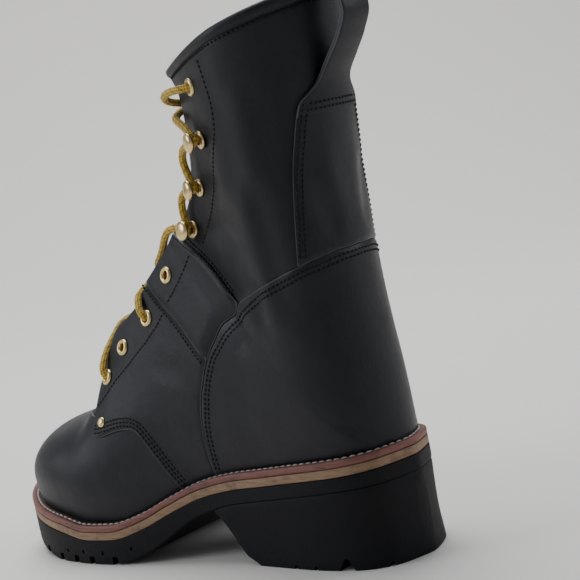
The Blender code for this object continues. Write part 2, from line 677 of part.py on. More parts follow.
def add_bar(points, faces, centre, half_length, width, height, turn):
    """Upright box bar across the sole, turned about the vertical."""
    start = len(points)
    for level in (-1.0, 1.0):
        for run, cross in ((-1, -1), (1, -1), (1, 1), (-1, 1)):
            side = run * half_length * math.cos(turn) - cross * width / 2 * math.sin(turn)
            along = run * half_length * math.sin(turn) + cross * width / 2 * math.cos(turn)
            points.append((centre[0] + side, centre[1] + along, centre[2] + level * height / 2))
    for face in ((0, 1, 2, 3), (4, 5, 6, 7), (0, 1, 5, 4), (1, 2, 6, 5), (2, 3, 7, 6), (3, 0, 4, 7)):
        faces.append(tuple(start + corner for corner in face))


# Heel block: waisted sides, slanting breast, grooves across its floor
def build_heel():
    points = []
    for share, inset, breast, back in HEEL_LEVELS:
        outer, inner = outline(WELT_REACH - inset)
        for line in (outer, inner):
            order = np.argsort(line[:, 1])
            along_back = line[order[0], 1] + max(back - inset, 0.0)
            spread = 1 - np.cos(np.linspace(0, 1, HEEL_COLUMNS) ** 0.8 * math.pi / 2)
            places = breast + (along_back - breast) * (1 - spread[::-1])
            for along in places[::-1]:
                side = np.interp(along, line[order, 1], line[order, 0])
                top = tread_up(along) - GAP
                points.append((side, along, top * share))
    faces = []
    width = 2 * HEEL_COLUMNS
    for level in range(len(HEEL_LEVELS) - 1):
        base = level * width
        for number in range(HEEL_COLUMNS - 1):
            for shift in (0, HEEL_COLUMNS):
                low = base + shift + number
                faces.append((low, low + 1, low + 1 + width, low + width))
        for number in (0, HEEL_COLUMNS - 1):
            faces.append((base + number, base + HEEL_COLUMNS + number, base + width + HEEL_COLUMNS + number,
                          base + width + number))
    for base in (0, (len(HEEL_LEVELS) - 1) * width):
        for number in range(HEEL_COLUMNS - 1):
            faces.append((base + number, base + number + 1, base + HEEL_COLUMNS + number + 1, base + HEEL_COLUMNS + number))
    heel = clean_solid("heel", world(np.array(points)), faces, RUBBER, PARTS)

    points = []
    faces = []
    for along, width, depth, lean in HEEL_GROOVES:
        start = len(points)
        for side in (-60.0, 60.0):
            points.extend(((side, along - width / 2, -1.0), (side, along + width / 2, -1.0),
                           (side, along + width / 2 - lean, depth), (side, along - width / 2 + lean, depth)))
        for face in ((0, 1, 2, 3), (4, 5, 6, 7), (0, 1, 5, 4), (1, 2, 6, 5), (2, 3, 7, 6), (3, 0, 4, 7)):
            faces.append(tuple(start + corner for corner in face))
    combine(heel, cutter_object("heel_grooves", world(np.array(points)), faces), "DIFFERENCE")
    return heel


def frame_at(section, around, lift):
    """Matrix at a place on the skin: Z outward, X toward the throat."""
    spot = world(skin(section, around, lift))
    normal = skin_normal(section, around)
    up = Vector((normal[0], -normal[1], normal[2])).normalized()
    nearer = world(bare_skin(section, around * 0.95)) - world(bare_skin(section, around))
    forward = Vector(nearer)
    forward = (forward - up * forward.dot(up)).normalized()
    cross = up.cross(forward)
    return Matrix(((forward.x, cross.x, up.x, spot[0]), (forward.y, cross.y, up.y, spot[1]),
                   (forward.z, cross.z, up.z, spot[2]), (0, 0, 0, 1)))


def turned(name, profile, segments, place, stuff, home):
    """Closed profile of radius and height in millimetres turned about Z, then placed."""
    points = []
    faces = []
    closed = profile[0][0] > 0
    for radius, height in profile:
        for number in range(segments):
            angle = 2 * math.pi * number / segments
            spot = Vector((radius * math.cos(angle), radius * math.sin(angle), height)) * 0.001
            points.append(place @ spot)
    rings = len(profile)
    last = rings if closed else rings - 1
    for ring in range(last):
        after = (ring + 1) % rings
        for number in range(segments):
            turn = (number + 1) % segments
            faces.append((ring * segments + number, ring * segments + turn,
                          after * segments + turn, after * segments + number))
    return clean_solid(name, points, faces, stuff, home)


# Eyelets: flanged brass tubes through the leather beside the throat
def build_eyelets(upper, quarters):
    for side, sign in (("outer", 1), ("inner", -1)):
        for number, section, around, lift in EYELETS:
            top = lift + HARDWARE_LIFT
            place = frame_at(section, around * sign, top)
            low = -top - WALL - 0.3
            profile = [(EYELET_BORE, 0.5), (EYELET_BORE + 0.9, 1.1), (EYELET_FLANGE - 0.4, 0.9),
                       (EYELET_FLANGE, 0.0), (EYELET_BARREL, 0.0), (EYELET_BARREL, low), (EYELET_BORE, low)]
            turned(f"eyelet_{side}_{number}", profile, 8, place, BRASS, PARTS)
            hole = [(0.0, low - 4.0), (EYELET_HOLE, low - 4.0), (EYELET_HOLE, 4.0), (0.0, 4.0)]
            cutter = turned(f"hole_{side}_{number}", hole, 8, place, RUBBER, CUTTERS)
            cutter.hide_render = True
            cutter.display_type = "WIRE"
            combine(upper, cutter, "DIFFERENCE")
            if lift > 0:
                combine(quarters[side], cutter, "DIFFERENCE")


# Speed hooks: riveted base plate, short neck and rounded button
def build_hooks():
    for side, sign in (("outer", 1), ("inner", -1)):
        for number, section, around in HOOKS:
            place = frame_at(section, around * sign, HARDWARE_LIFT)
            profile = [(0.0, 0.0), (4.9, 0.0), (4.7, 0.9), (1.8, 1.3), (1.5, 3.6), (4.2, 4.2),
                       (5.0, 5.2), (4.0, 6.4), (0.0, 6.9)]
            turned(f"hook_{side}_{number}", profile, 8, place, BRASS, PARTS)


# Rivets: small domed heads at the front corners of the quarters
def build_rivets():
    for side, sign in (("outer", 1), ("inner", -1)):
        place = frame_at(RIVET[0], RIVET[1] * sign, GAP + OVERLAY + GAP)
        profile = [(0.0, 0.0), (RIVET_RADIUS, 0.0), (RIVET_RADIUS * 0.8, 0.8), (0.0, 1.2)]
        turned(f"rivet_{side}", profile, 10, place, BRASS, PARTS)


# Lace: two cords crossing in front of the throat, joined where they cross
def build_lace():
    solids = []
    for flip in (1, -1):
        curve = bpy.data.curves.new("lace_path", "CURVE")
        curve.dimensions = "3D"
        curve.bevel_depth = CORD_RADIUS * 0.001
        curve.bevel_resolution = 1
        curve.use_fill_caps = True
        spots = []
        for number, (section, sign) in enumerate(LACE_ZIGZAG):
            sign = sign * flip
            reach = edge(THROAT_EDGE, section) * 0.92
            spots.append(skin(section, reach * sign, CORD_LIFT))
            if number + 1 < len(LACE_ZIGZAG):
                after = LACE_ZIGZAG[number + 1][0]
                spots.append(skin((section + after) / 2, 0.0, CORD_LIFT - 0.6))
        line = curve.splines.new("POLY")
        line.points.add(len(spots) - 1)
        for point, spot in zip(line.points, world(np.array(spots))):
            point.co = (*spot, 1.0)
        holder = bpy.data.objects.new("lace_path", curve)
        CUTTERS.objects.link(holder)
        bpy.context.view_layer.update()
        mesh = bpy.data.meshes.new_from_object(holder)
        bpy.data.objects.remove(holder, do_unlink=True)
        work = bmesh.new()
        work.from_mesh(mesh)
        bmesh.ops.remove_doubles(work, verts=work.verts, dist=1e-5)
        bmesh.ops.recalc_face_normals(work, faces=work.faces)
        work.to_mesh(mesh)
        work.free()
        mesh.materials.clear()
        mesh.materials.append(CORD)
        made = bpy.data.objects.new("lace" if flip == 1 else "lace_second_cord", mesh)
        (PARTS if flip == 1 else CUTTERS).objects.link(made)
        solids.append(made)
    solids[1].hide_render = True
    solids[1].display_type = "WIRE"
    combine(solids[0], solids[1], "UNION")


upper = build_upper()
quarters = {"outer": build_quarter("quarter_outer", 1), "inner": build_quarter("quarter_inner", -1)}
build_counter()
build_backstay()
build_tongue()
build_welt()
build_sole()
build_heel()
build_eyelets(upper, quarters)
build_hooks()
build_rivets()
build_lace()
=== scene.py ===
"""Left logger boot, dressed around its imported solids: leather, stitching, sole, brass and lace.

Places on the leather are given as section and around. Section 0 is the toe, 16 the heel's base and
27 the collar. Around is 0 on the ridge, 1 at the outer base and -1 at the inner base.
Sizes are millimetres from the back of the welt: side, along, up.
"""
import math

import bmesh
import bpy
import numpy as np
from mathutils import Matrix, Vector
from mathutils.kdtree import KDTree

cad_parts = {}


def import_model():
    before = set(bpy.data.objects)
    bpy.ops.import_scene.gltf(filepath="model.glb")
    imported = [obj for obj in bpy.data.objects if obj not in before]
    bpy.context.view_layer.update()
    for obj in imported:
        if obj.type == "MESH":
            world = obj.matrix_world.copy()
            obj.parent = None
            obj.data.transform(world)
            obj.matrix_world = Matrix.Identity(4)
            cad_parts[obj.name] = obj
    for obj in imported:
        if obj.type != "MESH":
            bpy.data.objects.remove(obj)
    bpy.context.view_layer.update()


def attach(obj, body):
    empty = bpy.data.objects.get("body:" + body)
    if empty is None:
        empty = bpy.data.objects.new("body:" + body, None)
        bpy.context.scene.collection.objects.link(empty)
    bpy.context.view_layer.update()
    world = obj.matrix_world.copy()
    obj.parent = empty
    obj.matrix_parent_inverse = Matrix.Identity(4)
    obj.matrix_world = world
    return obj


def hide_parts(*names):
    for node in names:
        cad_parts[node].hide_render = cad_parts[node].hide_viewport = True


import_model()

# Camera and studio: a long lens looks from behind the boot's outer side, tilted as in the photograph.
# A pale floor and a pale backdrop stand under large soft lights.
CENTRE_SIDE = -1.4601
CENTRE_ALONG = 142.9284
VIEW_AZIMUTH = math.radians(47.96)
VIEW_HEIGHT = math.radians(7.26)
VIEW_ROLL = math.radians(-11.5)
VIEW_DISTANCE = 0.8
VIEW_TARGET = Vector((0.00146, 0.07825, 0.14253))
LENS = 93.33
SENSOR_WIDTH = 36.0


def make_camera():
    back = Vector((math.sin(VIEW_AZIMUTH) * math.cos(VIEW_HEIGHT),
                   math.cos(VIEW_AZIMUTH) * math.cos(VIEW_HEIGHT), math.sin(VIEW_HEIGHT)))
    level = Vector((0, 0, 1)).cross(back).normalized()
    rise = back.cross(level)
    right = level * math.cos(VIEW_ROLL) + rise * math.sin(VIEW_ROLL)
    up = rise * math.cos(VIEW_ROLL) - level * math.sin(VIEW_ROLL)
    data = bpy.data.cameras.new("camera")
    data.lens = LENS
    data.sensor_width = SENSOR_WIDTH
    camera = bpy.data.objects.new("camera", data)
    bpy.context.scene.collection.objects.link(camera)
    spot = VIEW_TARGET + back * VIEW_DISTANCE
    camera.matrix_world = Matrix((
        (right.x, up.x, back.x, spot.x), (right.y, up.y, back.y, spot.y),
        (right.z, up.z, back.z, spot.z), (0, 0, 0, 1)))
    bpy.context.scene.camera = camera


def make_light(name, place, target, size, power):
    data = bpy.data.lights.new(name, "AREA")
    data.shape = "DISK"
    data.size = size
    data.energy = power
    data.color = LIGHT_COLOUR
    light = bpy.data.objects.new(name, data)
    bpy.context.scene.collection.objects.link(light)
    light.location = place
    light.rotation_mode = "QUATERNION"
    light.rotation_quaternion = (Vector(place) - Vector(target)).to_track_quat("Z", "Y")


class Value:
    """A number or colour on its way through a material's nodes."""

    def __init__(self, tree, socket):
        self.tree = tree
        self.socket = socket

    def join(self, operation, other, swapped=False):
        node = self.tree.nodes.new("ShaderNodeMath")
        node.operation = operation
        pair = (other, self) if swapped else (self, other)
        for place, item in zip(node.inputs, pair):
            plug(self.tree, place, item)
        return Value(self.tree, node.outputs[0])

    def __add__(self, other):
        return self.join("ADD", other)

    def __radd__(self, other):
        return self.join("ADD", other, True)

    def __sub__(self, other):
        return self.join("SUBTRACT", other)

    def __rsub__(self, other):
        return self.join("SUBTRACT", other, True)

    def __mul__(self, other):
        return self.join("MULTIPLY", other)

    def sine(self):
        return self.join("SINE", 0.0)


def plug(tree, place, item):
    if isinstance(item, Value):
        tree.links.new(item.socket, place)
    else:
        place.default_value = item


class Finish:
    """One procedural material."""

    def __init__(self, name):
        self.made = bpy.data.materials.new(name)
        self.made.use_nodes = True
        self.tree = self.made.node_tree
        self.shader = self.tree.nodes["Principled BSDF"]
        self.where = self.node("ShaderNodeTexCoord", output="Object")

    def node(self, kind, settings=None, output=0, **values):
        node = self.tree.nodes.new(kind)
        for key, setting in (settings or {}).items():
            setattr(node, key, setting)
        for key, item in values.items():
            plug(self.tree, node.inputs[key.replace("_", " ")], item)
        return Value(self.tree, node.outputs[output])

    def noise(self, scale, detail=3.0, roughness=0.55):
        return self.node("ShaderNodeTexNoise", Vector=self.where, Scale=scale, Detail=detail,
                         Roughness=roughness)

    def grains(self, scale):
        return self.node("ShaderNodeTexVoronoi", {"feature": "DISTANCE_TO_EDGE"}, Vector=self.where,
                         Scale=scale)

    def attribute(self, name):
        return self.node("ShaderNodeAttribute", {"attribute_name": name}, output="Fac")

    def between(self, value, low, high):
        return self.node("ShaderNodeMapRange", {"interpolation_type": "SMOOTHSTEP"}, Value=value,
                         **{"From_Min": low, "From_Max": high})

    def mix(self, share, first, second):
        node = self.tree.nodes.new("ShaderNodeMix")
        node.data_type = "RGBA"
        plug(self.tree, node.inputs[0], share)
        plug(self.tree, node.inputs[6], (*first, 1.0) if isinstance(first, tuple) else first)
        plug(self.tree, node.inputs[7], (*second, 1.0) if isinstance(second, tuple) else second)
        return Value(self.tree, node.outputs[2])

    def bump(self, height, distance, below=None):
        node = self.tree.nodes.new("ShaderNodeBump")
        node.inputs["Distance"].default_value = distance
        plug(self.tree, node.inputs["Height"], height)
        if below is not None:
            plug(self.tree, node.inputs["Normal"], below)
        return Value(self.tree, node.outputs[0])

    def finish(self, **values):
        for key, item in values.items():
            item = (*item, 1.0) if isinstance(item, tuple) else item
            plug(self.tree, self.shader.inputs[key.replace("_", " ")], item)
        return self.made


PAPER_COLOUR = (0.82, 0.765, 0.715)
LIGHT_COLOUR = (0.90, 0.95, 1.0)
PAPER_HALF_WIDTH = 5.0
PAPER_NEAR = -3.0
PAPER_FAR = 1.0
PAPER_BEND = 1.2
PAPER_STEPS = 24
PAPER_HEIGHT = 3.0
WORLD_COLOUR = (0.75, 0.80, 0.87, 1.0)
WORLD_STRENGTH = 0.29
LIGHT_TARGET = (0.0, 0.0, 0.15)
# Soft lights: name, place, size, power
LIGHTS = [
    ("left_window", (1.2, -1.35, 0.9), 0.9, 14.0),
    ("right_window", (-1.1, 1.35, 0.8), 0.9, 9.0),
    ("ceiling", (-0.5, -0.6, 2.1), 1.8, 52.0),
]


def make_studio():
    ahead = Vector((-math.sin(VIEW_AZIMUTH), -math.cos(VIEW_AZIMUTH), 0.0))
    beside_it = Vector((ahead.y, -ahead.x, 0.0))
    line = [(PAPER_NEAR, 0.0), (0.0, 0.0), (PAPER_FAR, 0.0)]
    for step in range(1, PAPER_STEPS + 1):
        angle = math.pi / 2 * step / PAPER_STEPS
        line.append((PAPER_FAR + PAPER_BEND * math.sin(angle), PAPER_BEND * (1 - math.cos(angle))))
    line.append((PAPER_FAR + PAPER_BEND, PAPER_HEIGHT))
    points, faces = [], []
    for run, up in line:
        for wide in (-PAPER_HALF_WIDTH, PAPER_HALF_WIDTH):
            points.append(tuple(ahead * run + beside_it * wide + Vector((0, 0, up))))
    for row in range(len(line) - 1):
        faces.append((2 * row, 2 * row + 1, 2 * row + 3, 2 * row + 2))
    mesh = bpy.data.meshes.new("floor")
    mesh.from_pydata(points, [], faces)
    mesh.shade_smooth()
    floor = bpy.data.objects.new("floor", mesh)
    bpy.context.scene.collection.objects.link(floor)
    stuff = Finish("floor_paper")
    tone = stuff.mix(stuff.noise(3.0), PAPER_COLOUR, tuple(part * 1.03 for part in PAPER_COLOUR))
    mesh.materials.append(stuff.finish(Base_Color=tone, Roughness=0.85))
    world = bpy.data.worlds.new("studio")
    world.use_nodes = True
    world.node_tree.nodes["Background"].inputs["Color"].default_value = WORLD_COLOUR
    world.node_tree.nodes["Background"].inputs["Strength"].default_value = WORLD_STRENGTH
    bpy.context.scene.world = world
    for name, place, size, power in LIGHTS:
        make_light(name, place, LIGHT_TARGET, size, power)


make_camera()
make_studio()

# Upper: vamp and shaft of oiled black leather about 2 mm thick, closed round the last and sewn to the
# welt. Its throat edges are raw cuts, and its collar is rolled over a soft cord and stitched below.
GAP = 0.3
OVERLAY = 1.6
OVERLAY_BASE = 0.35
STRAP_RISE = 1.3
WALL = 2.2
NOSE_DEPTH = 10.0
HEEL_SECTION = 16
COLLAR_SECTION = 27
SIDES = (("outer", 1), ("inner", -1))
SECTIONS = [
    # number, base along, base up, base outer, base inner, ridge along, ridge up, ridge side,
    # outer, inner, belly, nose, roof power, roof root, tuck
    (0, 294.5, 37.3, -4.8, 4.8, 294.5, 38.3, -4.8, -4.8, 4.8, 0.62, 0.0, 2.2, 2.2, 60),
    (1, 291.0, 36.3, 9.0, 23.0, 291.5, 52.0, -5.0, 9.6, 23.6, 0.64, 0.0, 2.2, 2.2, 60),
    (2, 282.0, 34.3, 22.5, 34.5, 284.0, 61.5, -5.0, 23.6, 35.6, 0.66, 0.0, 2.2, 2.2, 60),
    (3, 270.0, 32.0, 32.5, 43.0, 273.0, 69.5, -4.5, 34.2, 44.6, 0.68, 0.0, 2.2, 2.2, 60),
    (4, 255.0, 29.7, 40.0, 48.2, 259.0, 75.5, -4.0, 42.5, 50.5, 0.68, 0.0, 2.2, 2.2, 60),
    (5, 235.0, 27.0, 44.8, 48.9, 242.0, 79.5, -3.0, 47.5, 51.5, 0.68, 0.0, 2.1, 2.2, 60),
    (6, 214.0, 23.5, 46.2, 47.2, 225.0, 85.0, -2.5, 49.0, 49.5, 0.68, 2.5, 2.0, 1.9, 60),
    (7, 193.0, 23.9, 44.6, 43.2, 214.5, 100.0, -2.0, 46.8, 45.0, 0.68, 6.5, 1.8, 1.6, 58),
    (8, 172.0, 29.0, 40.4, 37.0, 205.0, 116.5, -1.5, 42.8, 39.5, 0.68, 9.5, 1.7, 1.38, 56),
    (9, 150.0, 38.1, 35.2, 30.0, 196.5, 132.5, -1.0, 38.5, 34.5, 0.68, 11.0, 1.6, 1.25, 56),
    (10, 128.0, 46.2, 31.3, 25.5, 184.0, 143.0, 0.0, 35.0, 31.0, 0.67, 12.0, 1.55, 1.2, 56),
    (11, 104.0, 51.2, 30.2, 25.5, 171.5, 152.0, 0.0, 33.8, 30.5, 0.66, 12.5, 1.5, 1.15, 58),
    (12, 80.0, 54.0, 30.8, 28.0, 160.0, 160.5, 0.0, 34.0, 31.5, 0.66, 12.5, 1.45, 1.1, 60),
    (13, 56.0, 56.7, 31.2, 29.5, 149.5, 169.5, 0.0, 34.6, 33.0, 0.66, 12.5, 1.45, 1.05, 63),
    (14, 32.0, 58.8, 28.6, 27.8, 140.0, 178.5, 0.0, 34.8, 34.0, 0.66, 12.5, 1.4, 1.05, 68),
    (15, 14.2, 60.5, 18.5, 18.0, 134.0, 185.0, 0.0, 34.8, 34.0, 0.66, 12.5, 1.4, 1.0, 78),
    (16, 7.5, 61.2, 0.0, 0.0, 129.5, 190.0, 0.0, 34.6, 34.0, 0.66, 12.5, 1.4, 1.0, 90),
    (17, 7.9, 71.0, 0.0, 0.0, 125.5, 195.0, 0.0, 34.4, 34.0, 0.66, 12.5, 1.4, 1.0, 90),
    (18, 8.8, 88.0, 0.0, 0.0, 121.5, 200.0, 0.0, 34.2, 34.0, 0.66, 12.5, 1.4, 1.0, 90),
    (19, 10.6, 110.0, 0.0, 0.0, 117.8, 205.5, 0.0, 34.3, 34.2, 0.65, 12.5, 1.4, 1.0, 90),
    (20, 12.2, 133.0, 0.0, 0.0, 114.5, 212.0, 0.0, 35.0, 35.0, 0.64, 12.0, 1.4, 1.0, 90),
    (21, 13.2, 156.0, 0.0, 0.0, 112.0, 219.5, 0.0, 36.0, 36.0, 0.63, 12.0, 1.4, 1.0, 90),
    (22, 13.8, 178.0, 0.0, 0.0, 110.5, 228.0, 0.0, 37.0, 37.0, 0.62, 12.0, 1.4, 1.0, 90),
    (23, 13.2, 200.0, 0.0, 0.0, 109.8, 236.5, 0.0, 38.0, 38.0, 0.61, 12.0, 1.4, 1.0, 90),
    (24, 11.5, 222.0, 0.0, 0.0, 109.5, 244.0, 0.0, 39.0, 39.0, 0.60, 12.0, 1.4, 1.0, 90),
    (25, 8.5, 246.0, 0.0, 0.0, 110.0, 251.5, 0.0, 40.0, 40.0, 0.60, 12.0, 1.4, 1.0, 90),
    (26, 5.5, 270.0, 0.0, 0.0, 111.5, 259.5, 0.0, 41.0, 41.0, 0.60, 12.0, 1.4, 1.0, 90),
    (27, 3.0, 294.0, 0.0, 0.0, 113.5, 267.0, 0.0, 42.0, 42.0, 0.60, 12.0, 1.4, 1.0, 90),
]
# Seam line of the upper, from behind the heel to before the toe: along, up
FEATHER_LINE = [(-6.0, 62.0), *((row[1], row[2]) for row in SECTIONS[HEEL_SECTION::-1]), (306.0, 40.6)]
THROAT_EDGE = [
    # section, around
    (0.0, 0.25), (6.4, 0.25), (7.1, 0.36), (7.5, 0.41), (7.8, 0.36), (8.0, 0.32), (8.6, 0.285),
    (9.1, 0.24), (9.5, 0.20), (10.5, 0.215),
    (11.1, 0.21), (11.9, 0.165), (13.9, 0.165), (15.7, 0.16), (17.6, 0.182), (19.8, 0.205),
    (22.7, 0.235), (23.7, 0.25), (25.4, 0.26), (26.6, 0.205), (27.0, 0.19),
]
THROAT_START = 6.4
# Joining points, in metres
WELD = 2e-6
SLIVER = 1e-7
# Cut edges of the leather: places told apart in a millimetre, sampling in millimetres, share rounded off
PLACES_PER_MM = 200
RIM_STEP = 0.4
EDGE_ROUND = 0.8
LEATHER_CREASE = 50
FOLD_FADE = 0.3
BACK_FADE = 0.08
# Soft folds that run over the leather, each a trough beside a low ridge
FOLDS = [
    # start section, start around, end section, end around, width, depth
    (17.2, 0.60, 19.6, 0.62, 5.0, 1.3),
    (18.0, 0.46, 20.5, 0.52, 6.0, 1.0),
    (21.5, 0.62, 25.8, 0.58, 9.0, 1.7),
    (22.0, 0.74, 25.6, 0.72, 8.0, 1.2),
    (20.6, 0.40, 25.0, 0.52, 7.0, 1.1),
    (18.6, 0.70, 23.2, 0.66, 7.0, 1.4),
    (24.0, 0.84, 21.2, 0.93, 6.5, 1.3),
    (14.6, 0.60, 16.5, 0.47, 7.0, 0.6),
    (17.2, -0.60, 19.6, -0.63, 5.0, 1.3),
    (18.0, -0.45, 20.5, -0.53, 6.0, 1.0),
    (21.5, -0.63, 25.8, -0.59, 9.0, 1.5),
    (22.2, -0.76, 25.4, -0.72, 8.0, 1.0),
    (20.6, -0.42, 25.0, -0.50, 7.0, 1.0),
    (18.9, -0.71, 23.0, -0.68, 7.0, 1.2),
    (23.6, -0.85, 21.4, -0.92, 6.5, 1.0),
    (10.6, 0.45, 12.4, 0.62, 6.0, 0.4),
    (10.6, -0.45, 12.4, -0.62, 6.0, 0.4),
]


def slopes(places, values):
    """Slopes that keep a curve through table rows from overshooting."""
    step = np.diff(places)
    rise = np.diff(values, axis=0) / step[:, None]
    result = np.zeros_like(values)
    before = (2 * step[1:] + step[:-1])[:, None]
    after = (step[1:] + 2 * step[:-1])[:, None]
    same = rise[1:] * rise[:-1] > 0
    left = np.where(same, rise[:-1], 1.0)
    right = np.where(same, rise[1:], 1.0)
    result[1:-1] = np.where(same, (before + after) / (before / left + after / right), 0.0)
    result[0] = rise[0]
    result[-1] = rise[-1]
    return result


def along_table(table, place):
    """Value of every column but the first where the first column equals place."""
    rows = np.asarray(table, float)
    places = rows[:, 0]
    values = rows[:, 1:]
    tangent = slopes(places, values)
    place = np.clip(np.asarray(place, float), places[0], places[-1])
    low = np.clip(np.searchsorted(places, place, side="right") - 1, 0, len(places) - 2)
    step = (places[low + 1] - places[low])[..., None]
    share = (place - places[low])[..., None] / step
    rest = 1 - share
    return ((1 + 2 * share) * rest**2 * values[low] + share * rest**2 * step * tangent[low]
            + share**2 * (3 - 2 * share) * values[low + 1] - share**2 * rest * step * tangent[low + 1])


def edge(table, place):
    return along_table(table, place)[..., 0]


def feather_up(along):
    return along_table(FEATHER_LINE, along)[..., 0]


def bare_skin(section, around):
    """Outer face of the upper without folds."""
    section, around = np.broadcast_arrays(np.asarray(section, float), np.asarray(around, float))
    row = along_table(SECTIONS, section)
    (base_along, base_up, base_outer, base_inner, ridge_along, ridge_up, ridge_side,
     outer, inner, belly, nose, power, root, tuck) = np.moveaxis(row, -1, 0)
    base_up = np.where(section < HEEL_SECTION, feather_up(base_along), base_up)
    sign = np.where(around >= 0, 1.0, -1.0)
    wide = np.where(around >= 0, outer, inner)
    foot = np.where(around >= 0, base_outer, base_inner)
    start = ridge_side * sign
    share = np.abs(around)
    turn = np.clip(share / belly, 0, 1) * math.pi / 2
    roof_run = belly * (1 - np.cos(turn))
    roof_side = (1 - np.clip(np.cos(turn), 0, 1) ** power) ** (1 / root)
    length = np.hypot(ridge_along - base_along, ridge_up - base_up)
    inside_nose = np.clip(roof_run * length / NOSE_DEPTH, 0, 1)
    nose_side = np.sqrt(1 - (1 - inside_nose) ** 2)
    roof = start + nose * nose_side + (wide - start - nose) * roof_side
    limit = np.radians(tuck)
    bend = np.clip((share - belly) / (1 - belly), 0, 1) * limit
    wall_run = belly + (1 - belly) * np.sin(bend) / np.sin(limit)
    wall = wide + (foot - wide) * (1 - np.cos(bend)) / (1 - np.cos(limit))
    below = share > belly
    run = np.where(below, wall_run, roof_run)
    side = np.where(below, wall, roof) * sign
    return np.stack([side, ridge_along + (base_along - ridge_along) * run,
                     ridge_up + (base_up - ridge_up) * run], -1)


def skin_normal(section, around):
    """Unit normal of the skin, pointing out of the boot."""
    section, around = np.broadcast_arrays(np.asarray(section, float), np.asarray(around, float))
    small = 0.001
    ahead = bare_skin(np.clip(section + small, 0.02, COLLAR_SECTION), around)
    behind = bare_skin(np.clip(section - small, 0.02, COLLAR_SECTION), around)
    further = bare_skin(section, np.clip(around + small, -1, 1))
    nearer = bare_skin(section, np.clip(around - small, -1, 1))
    normal = np.cross(ahead - behind, further - nearer)
    return normal / (np.linalg.norm(normal, axis=-1, keepdims=True) + 1e-12)


def flattened(normal, keep, when):
    """Normal without one component where the flag says so."""
    held = normal * np.array(keep)
    held = held / (np.linalg.norm(held, axis=-1, keepdims=True) + 1e-12)
    return np.where(when[..., None], held, normal)


def eased(share):
    """Share from 0 to 1 that starts and ends level."""
    return share * share * (3 - 2 * share)


def folds(section, around):
    """Depth in millimetres that the soft folds add to the leather."""
    point = bare_skin(section, around)
    total = np.zeros(point.shape[:-1])
    for first_section, first_around, last_section, last_around, width, depth in FOLDS:
        same_side = np.sign(first_around) * np.asarray(around) > 0
        first = bare_skin(first_section, first_around)
        last = bare_skin(last_section, last_around)
        line = last - first
        length = np.linalg.norm(line)
        line = line / length
        offset = point - first
        travel = offset @ line
        across = np.cross(line, skin_normal(first_section, first_around))
        away = offset @ across
        soft_end = FOLD_FADE * length
        fade = eased(np.clip(travel / soft_end, 0, 1) * np.clip((length - travel) / soft_end, 0, 1))
        trough = np.exp(-(away / width) ** 2)
        ridge = 0.55 * np.exp(-((away - 1.7 * width) / width) ** 2)
        ridge = ridge + 0.35 * np.exp(-((away + 1.7 * width) / width) ** 2)
        total = total + np.where(same_side, depth * fade * (ridge - trough), 0.0)
    return total * eased(np.clip((1 - np.abs(around)) / BACK_FADE, 0, 1))


def skin(section, around, lift):
    """Leather moved outward by lift; along the seam to the welt it moves level."""
    section, around, lift = np.broadcast_arrays(
        np.asarray(section, float), np.asarray(around, float), np.asarray(lift, float))
    point = bare_skin(section, around)
    normal = skin_normal(section, around)
    rim = np.abs(around) > 0.9999
    normal = flattened(normal, (1.0, 1.0, 0.0), rim & (section < HEEL_SECTION + 0.001))
    normal = flattened(normal, (0.0, 1.0, 1.0), rim & (section > HEEL_SECTION - 0.001))
    normal = np.where((section < 0.02)[..., None], np.array([0.0, 1.0, 0.0]), normal)
    return point + normal * (lift + folds(section, around))[..., None]


def world(points):
    """Side, along, up in millimetres to world metres."""
    points = np.asarray(points, float)
    return np.stack([points[..., 0] - CENTRE_SIDE, CENTRE_ALONG - points[..., 1],
                     points[..., 2]], -1) * 0.001


def outward(mesh, weld=0.0):
    """Turns the faces outward, after joining points that lie closer than weld in metres."""
    work = bmesh.new()
    work.from_mesh(mesh)
    if weld:
        bmesh.ops.remove_doubles(work, verts=work.verts, dist=weld)
        bmesh.ops.dissolve_degenerate(work, edges=work.edges, dist=SLIVER)
    bmesh.ops.recalc_face_normals(work, faces=work.faces)
    if work.calc_volume(signed=True) < 0:
        bmesh.ops.reverse_faces(work, faces=work.faces)
    work.to_mesh(mesh)
    work.free()


def crease(piece, degrees):
    """Edges that bend more than this stay sharp."""
    piece.data.set_sharp_from_angle(angle=math.radians(degrees))


def new_piece(name, points, faces, stuff, nodes=(), weld=0.0):
    """Mesh piece in world metres, facing outward, riding on the boot."""
    mesh = bpy.data.meshes.new(name)
    mesh.from_pydata(np.asarray(points, float).tolist(), [], [tuple(face) for face in faces])
    outward(mesh, weld)
    mesh.materials.append(stuff)
    mesh.shade_smooth()
    piece = bpy.data.objects.new(name, mesh)
    bpy.context.scene.collection.objects.link(piece)
    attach(piece, "root")
    if nodes:
        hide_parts(*nodes)
    return piece


def mark(piece, name, values):
    """Number for each point of a piece, read by its material."""
    layer = piece.data.attributes.new(name, "FLOAT", "POINT")
    layer.data.foreach_set("value", np.asarray(values, np.float32))


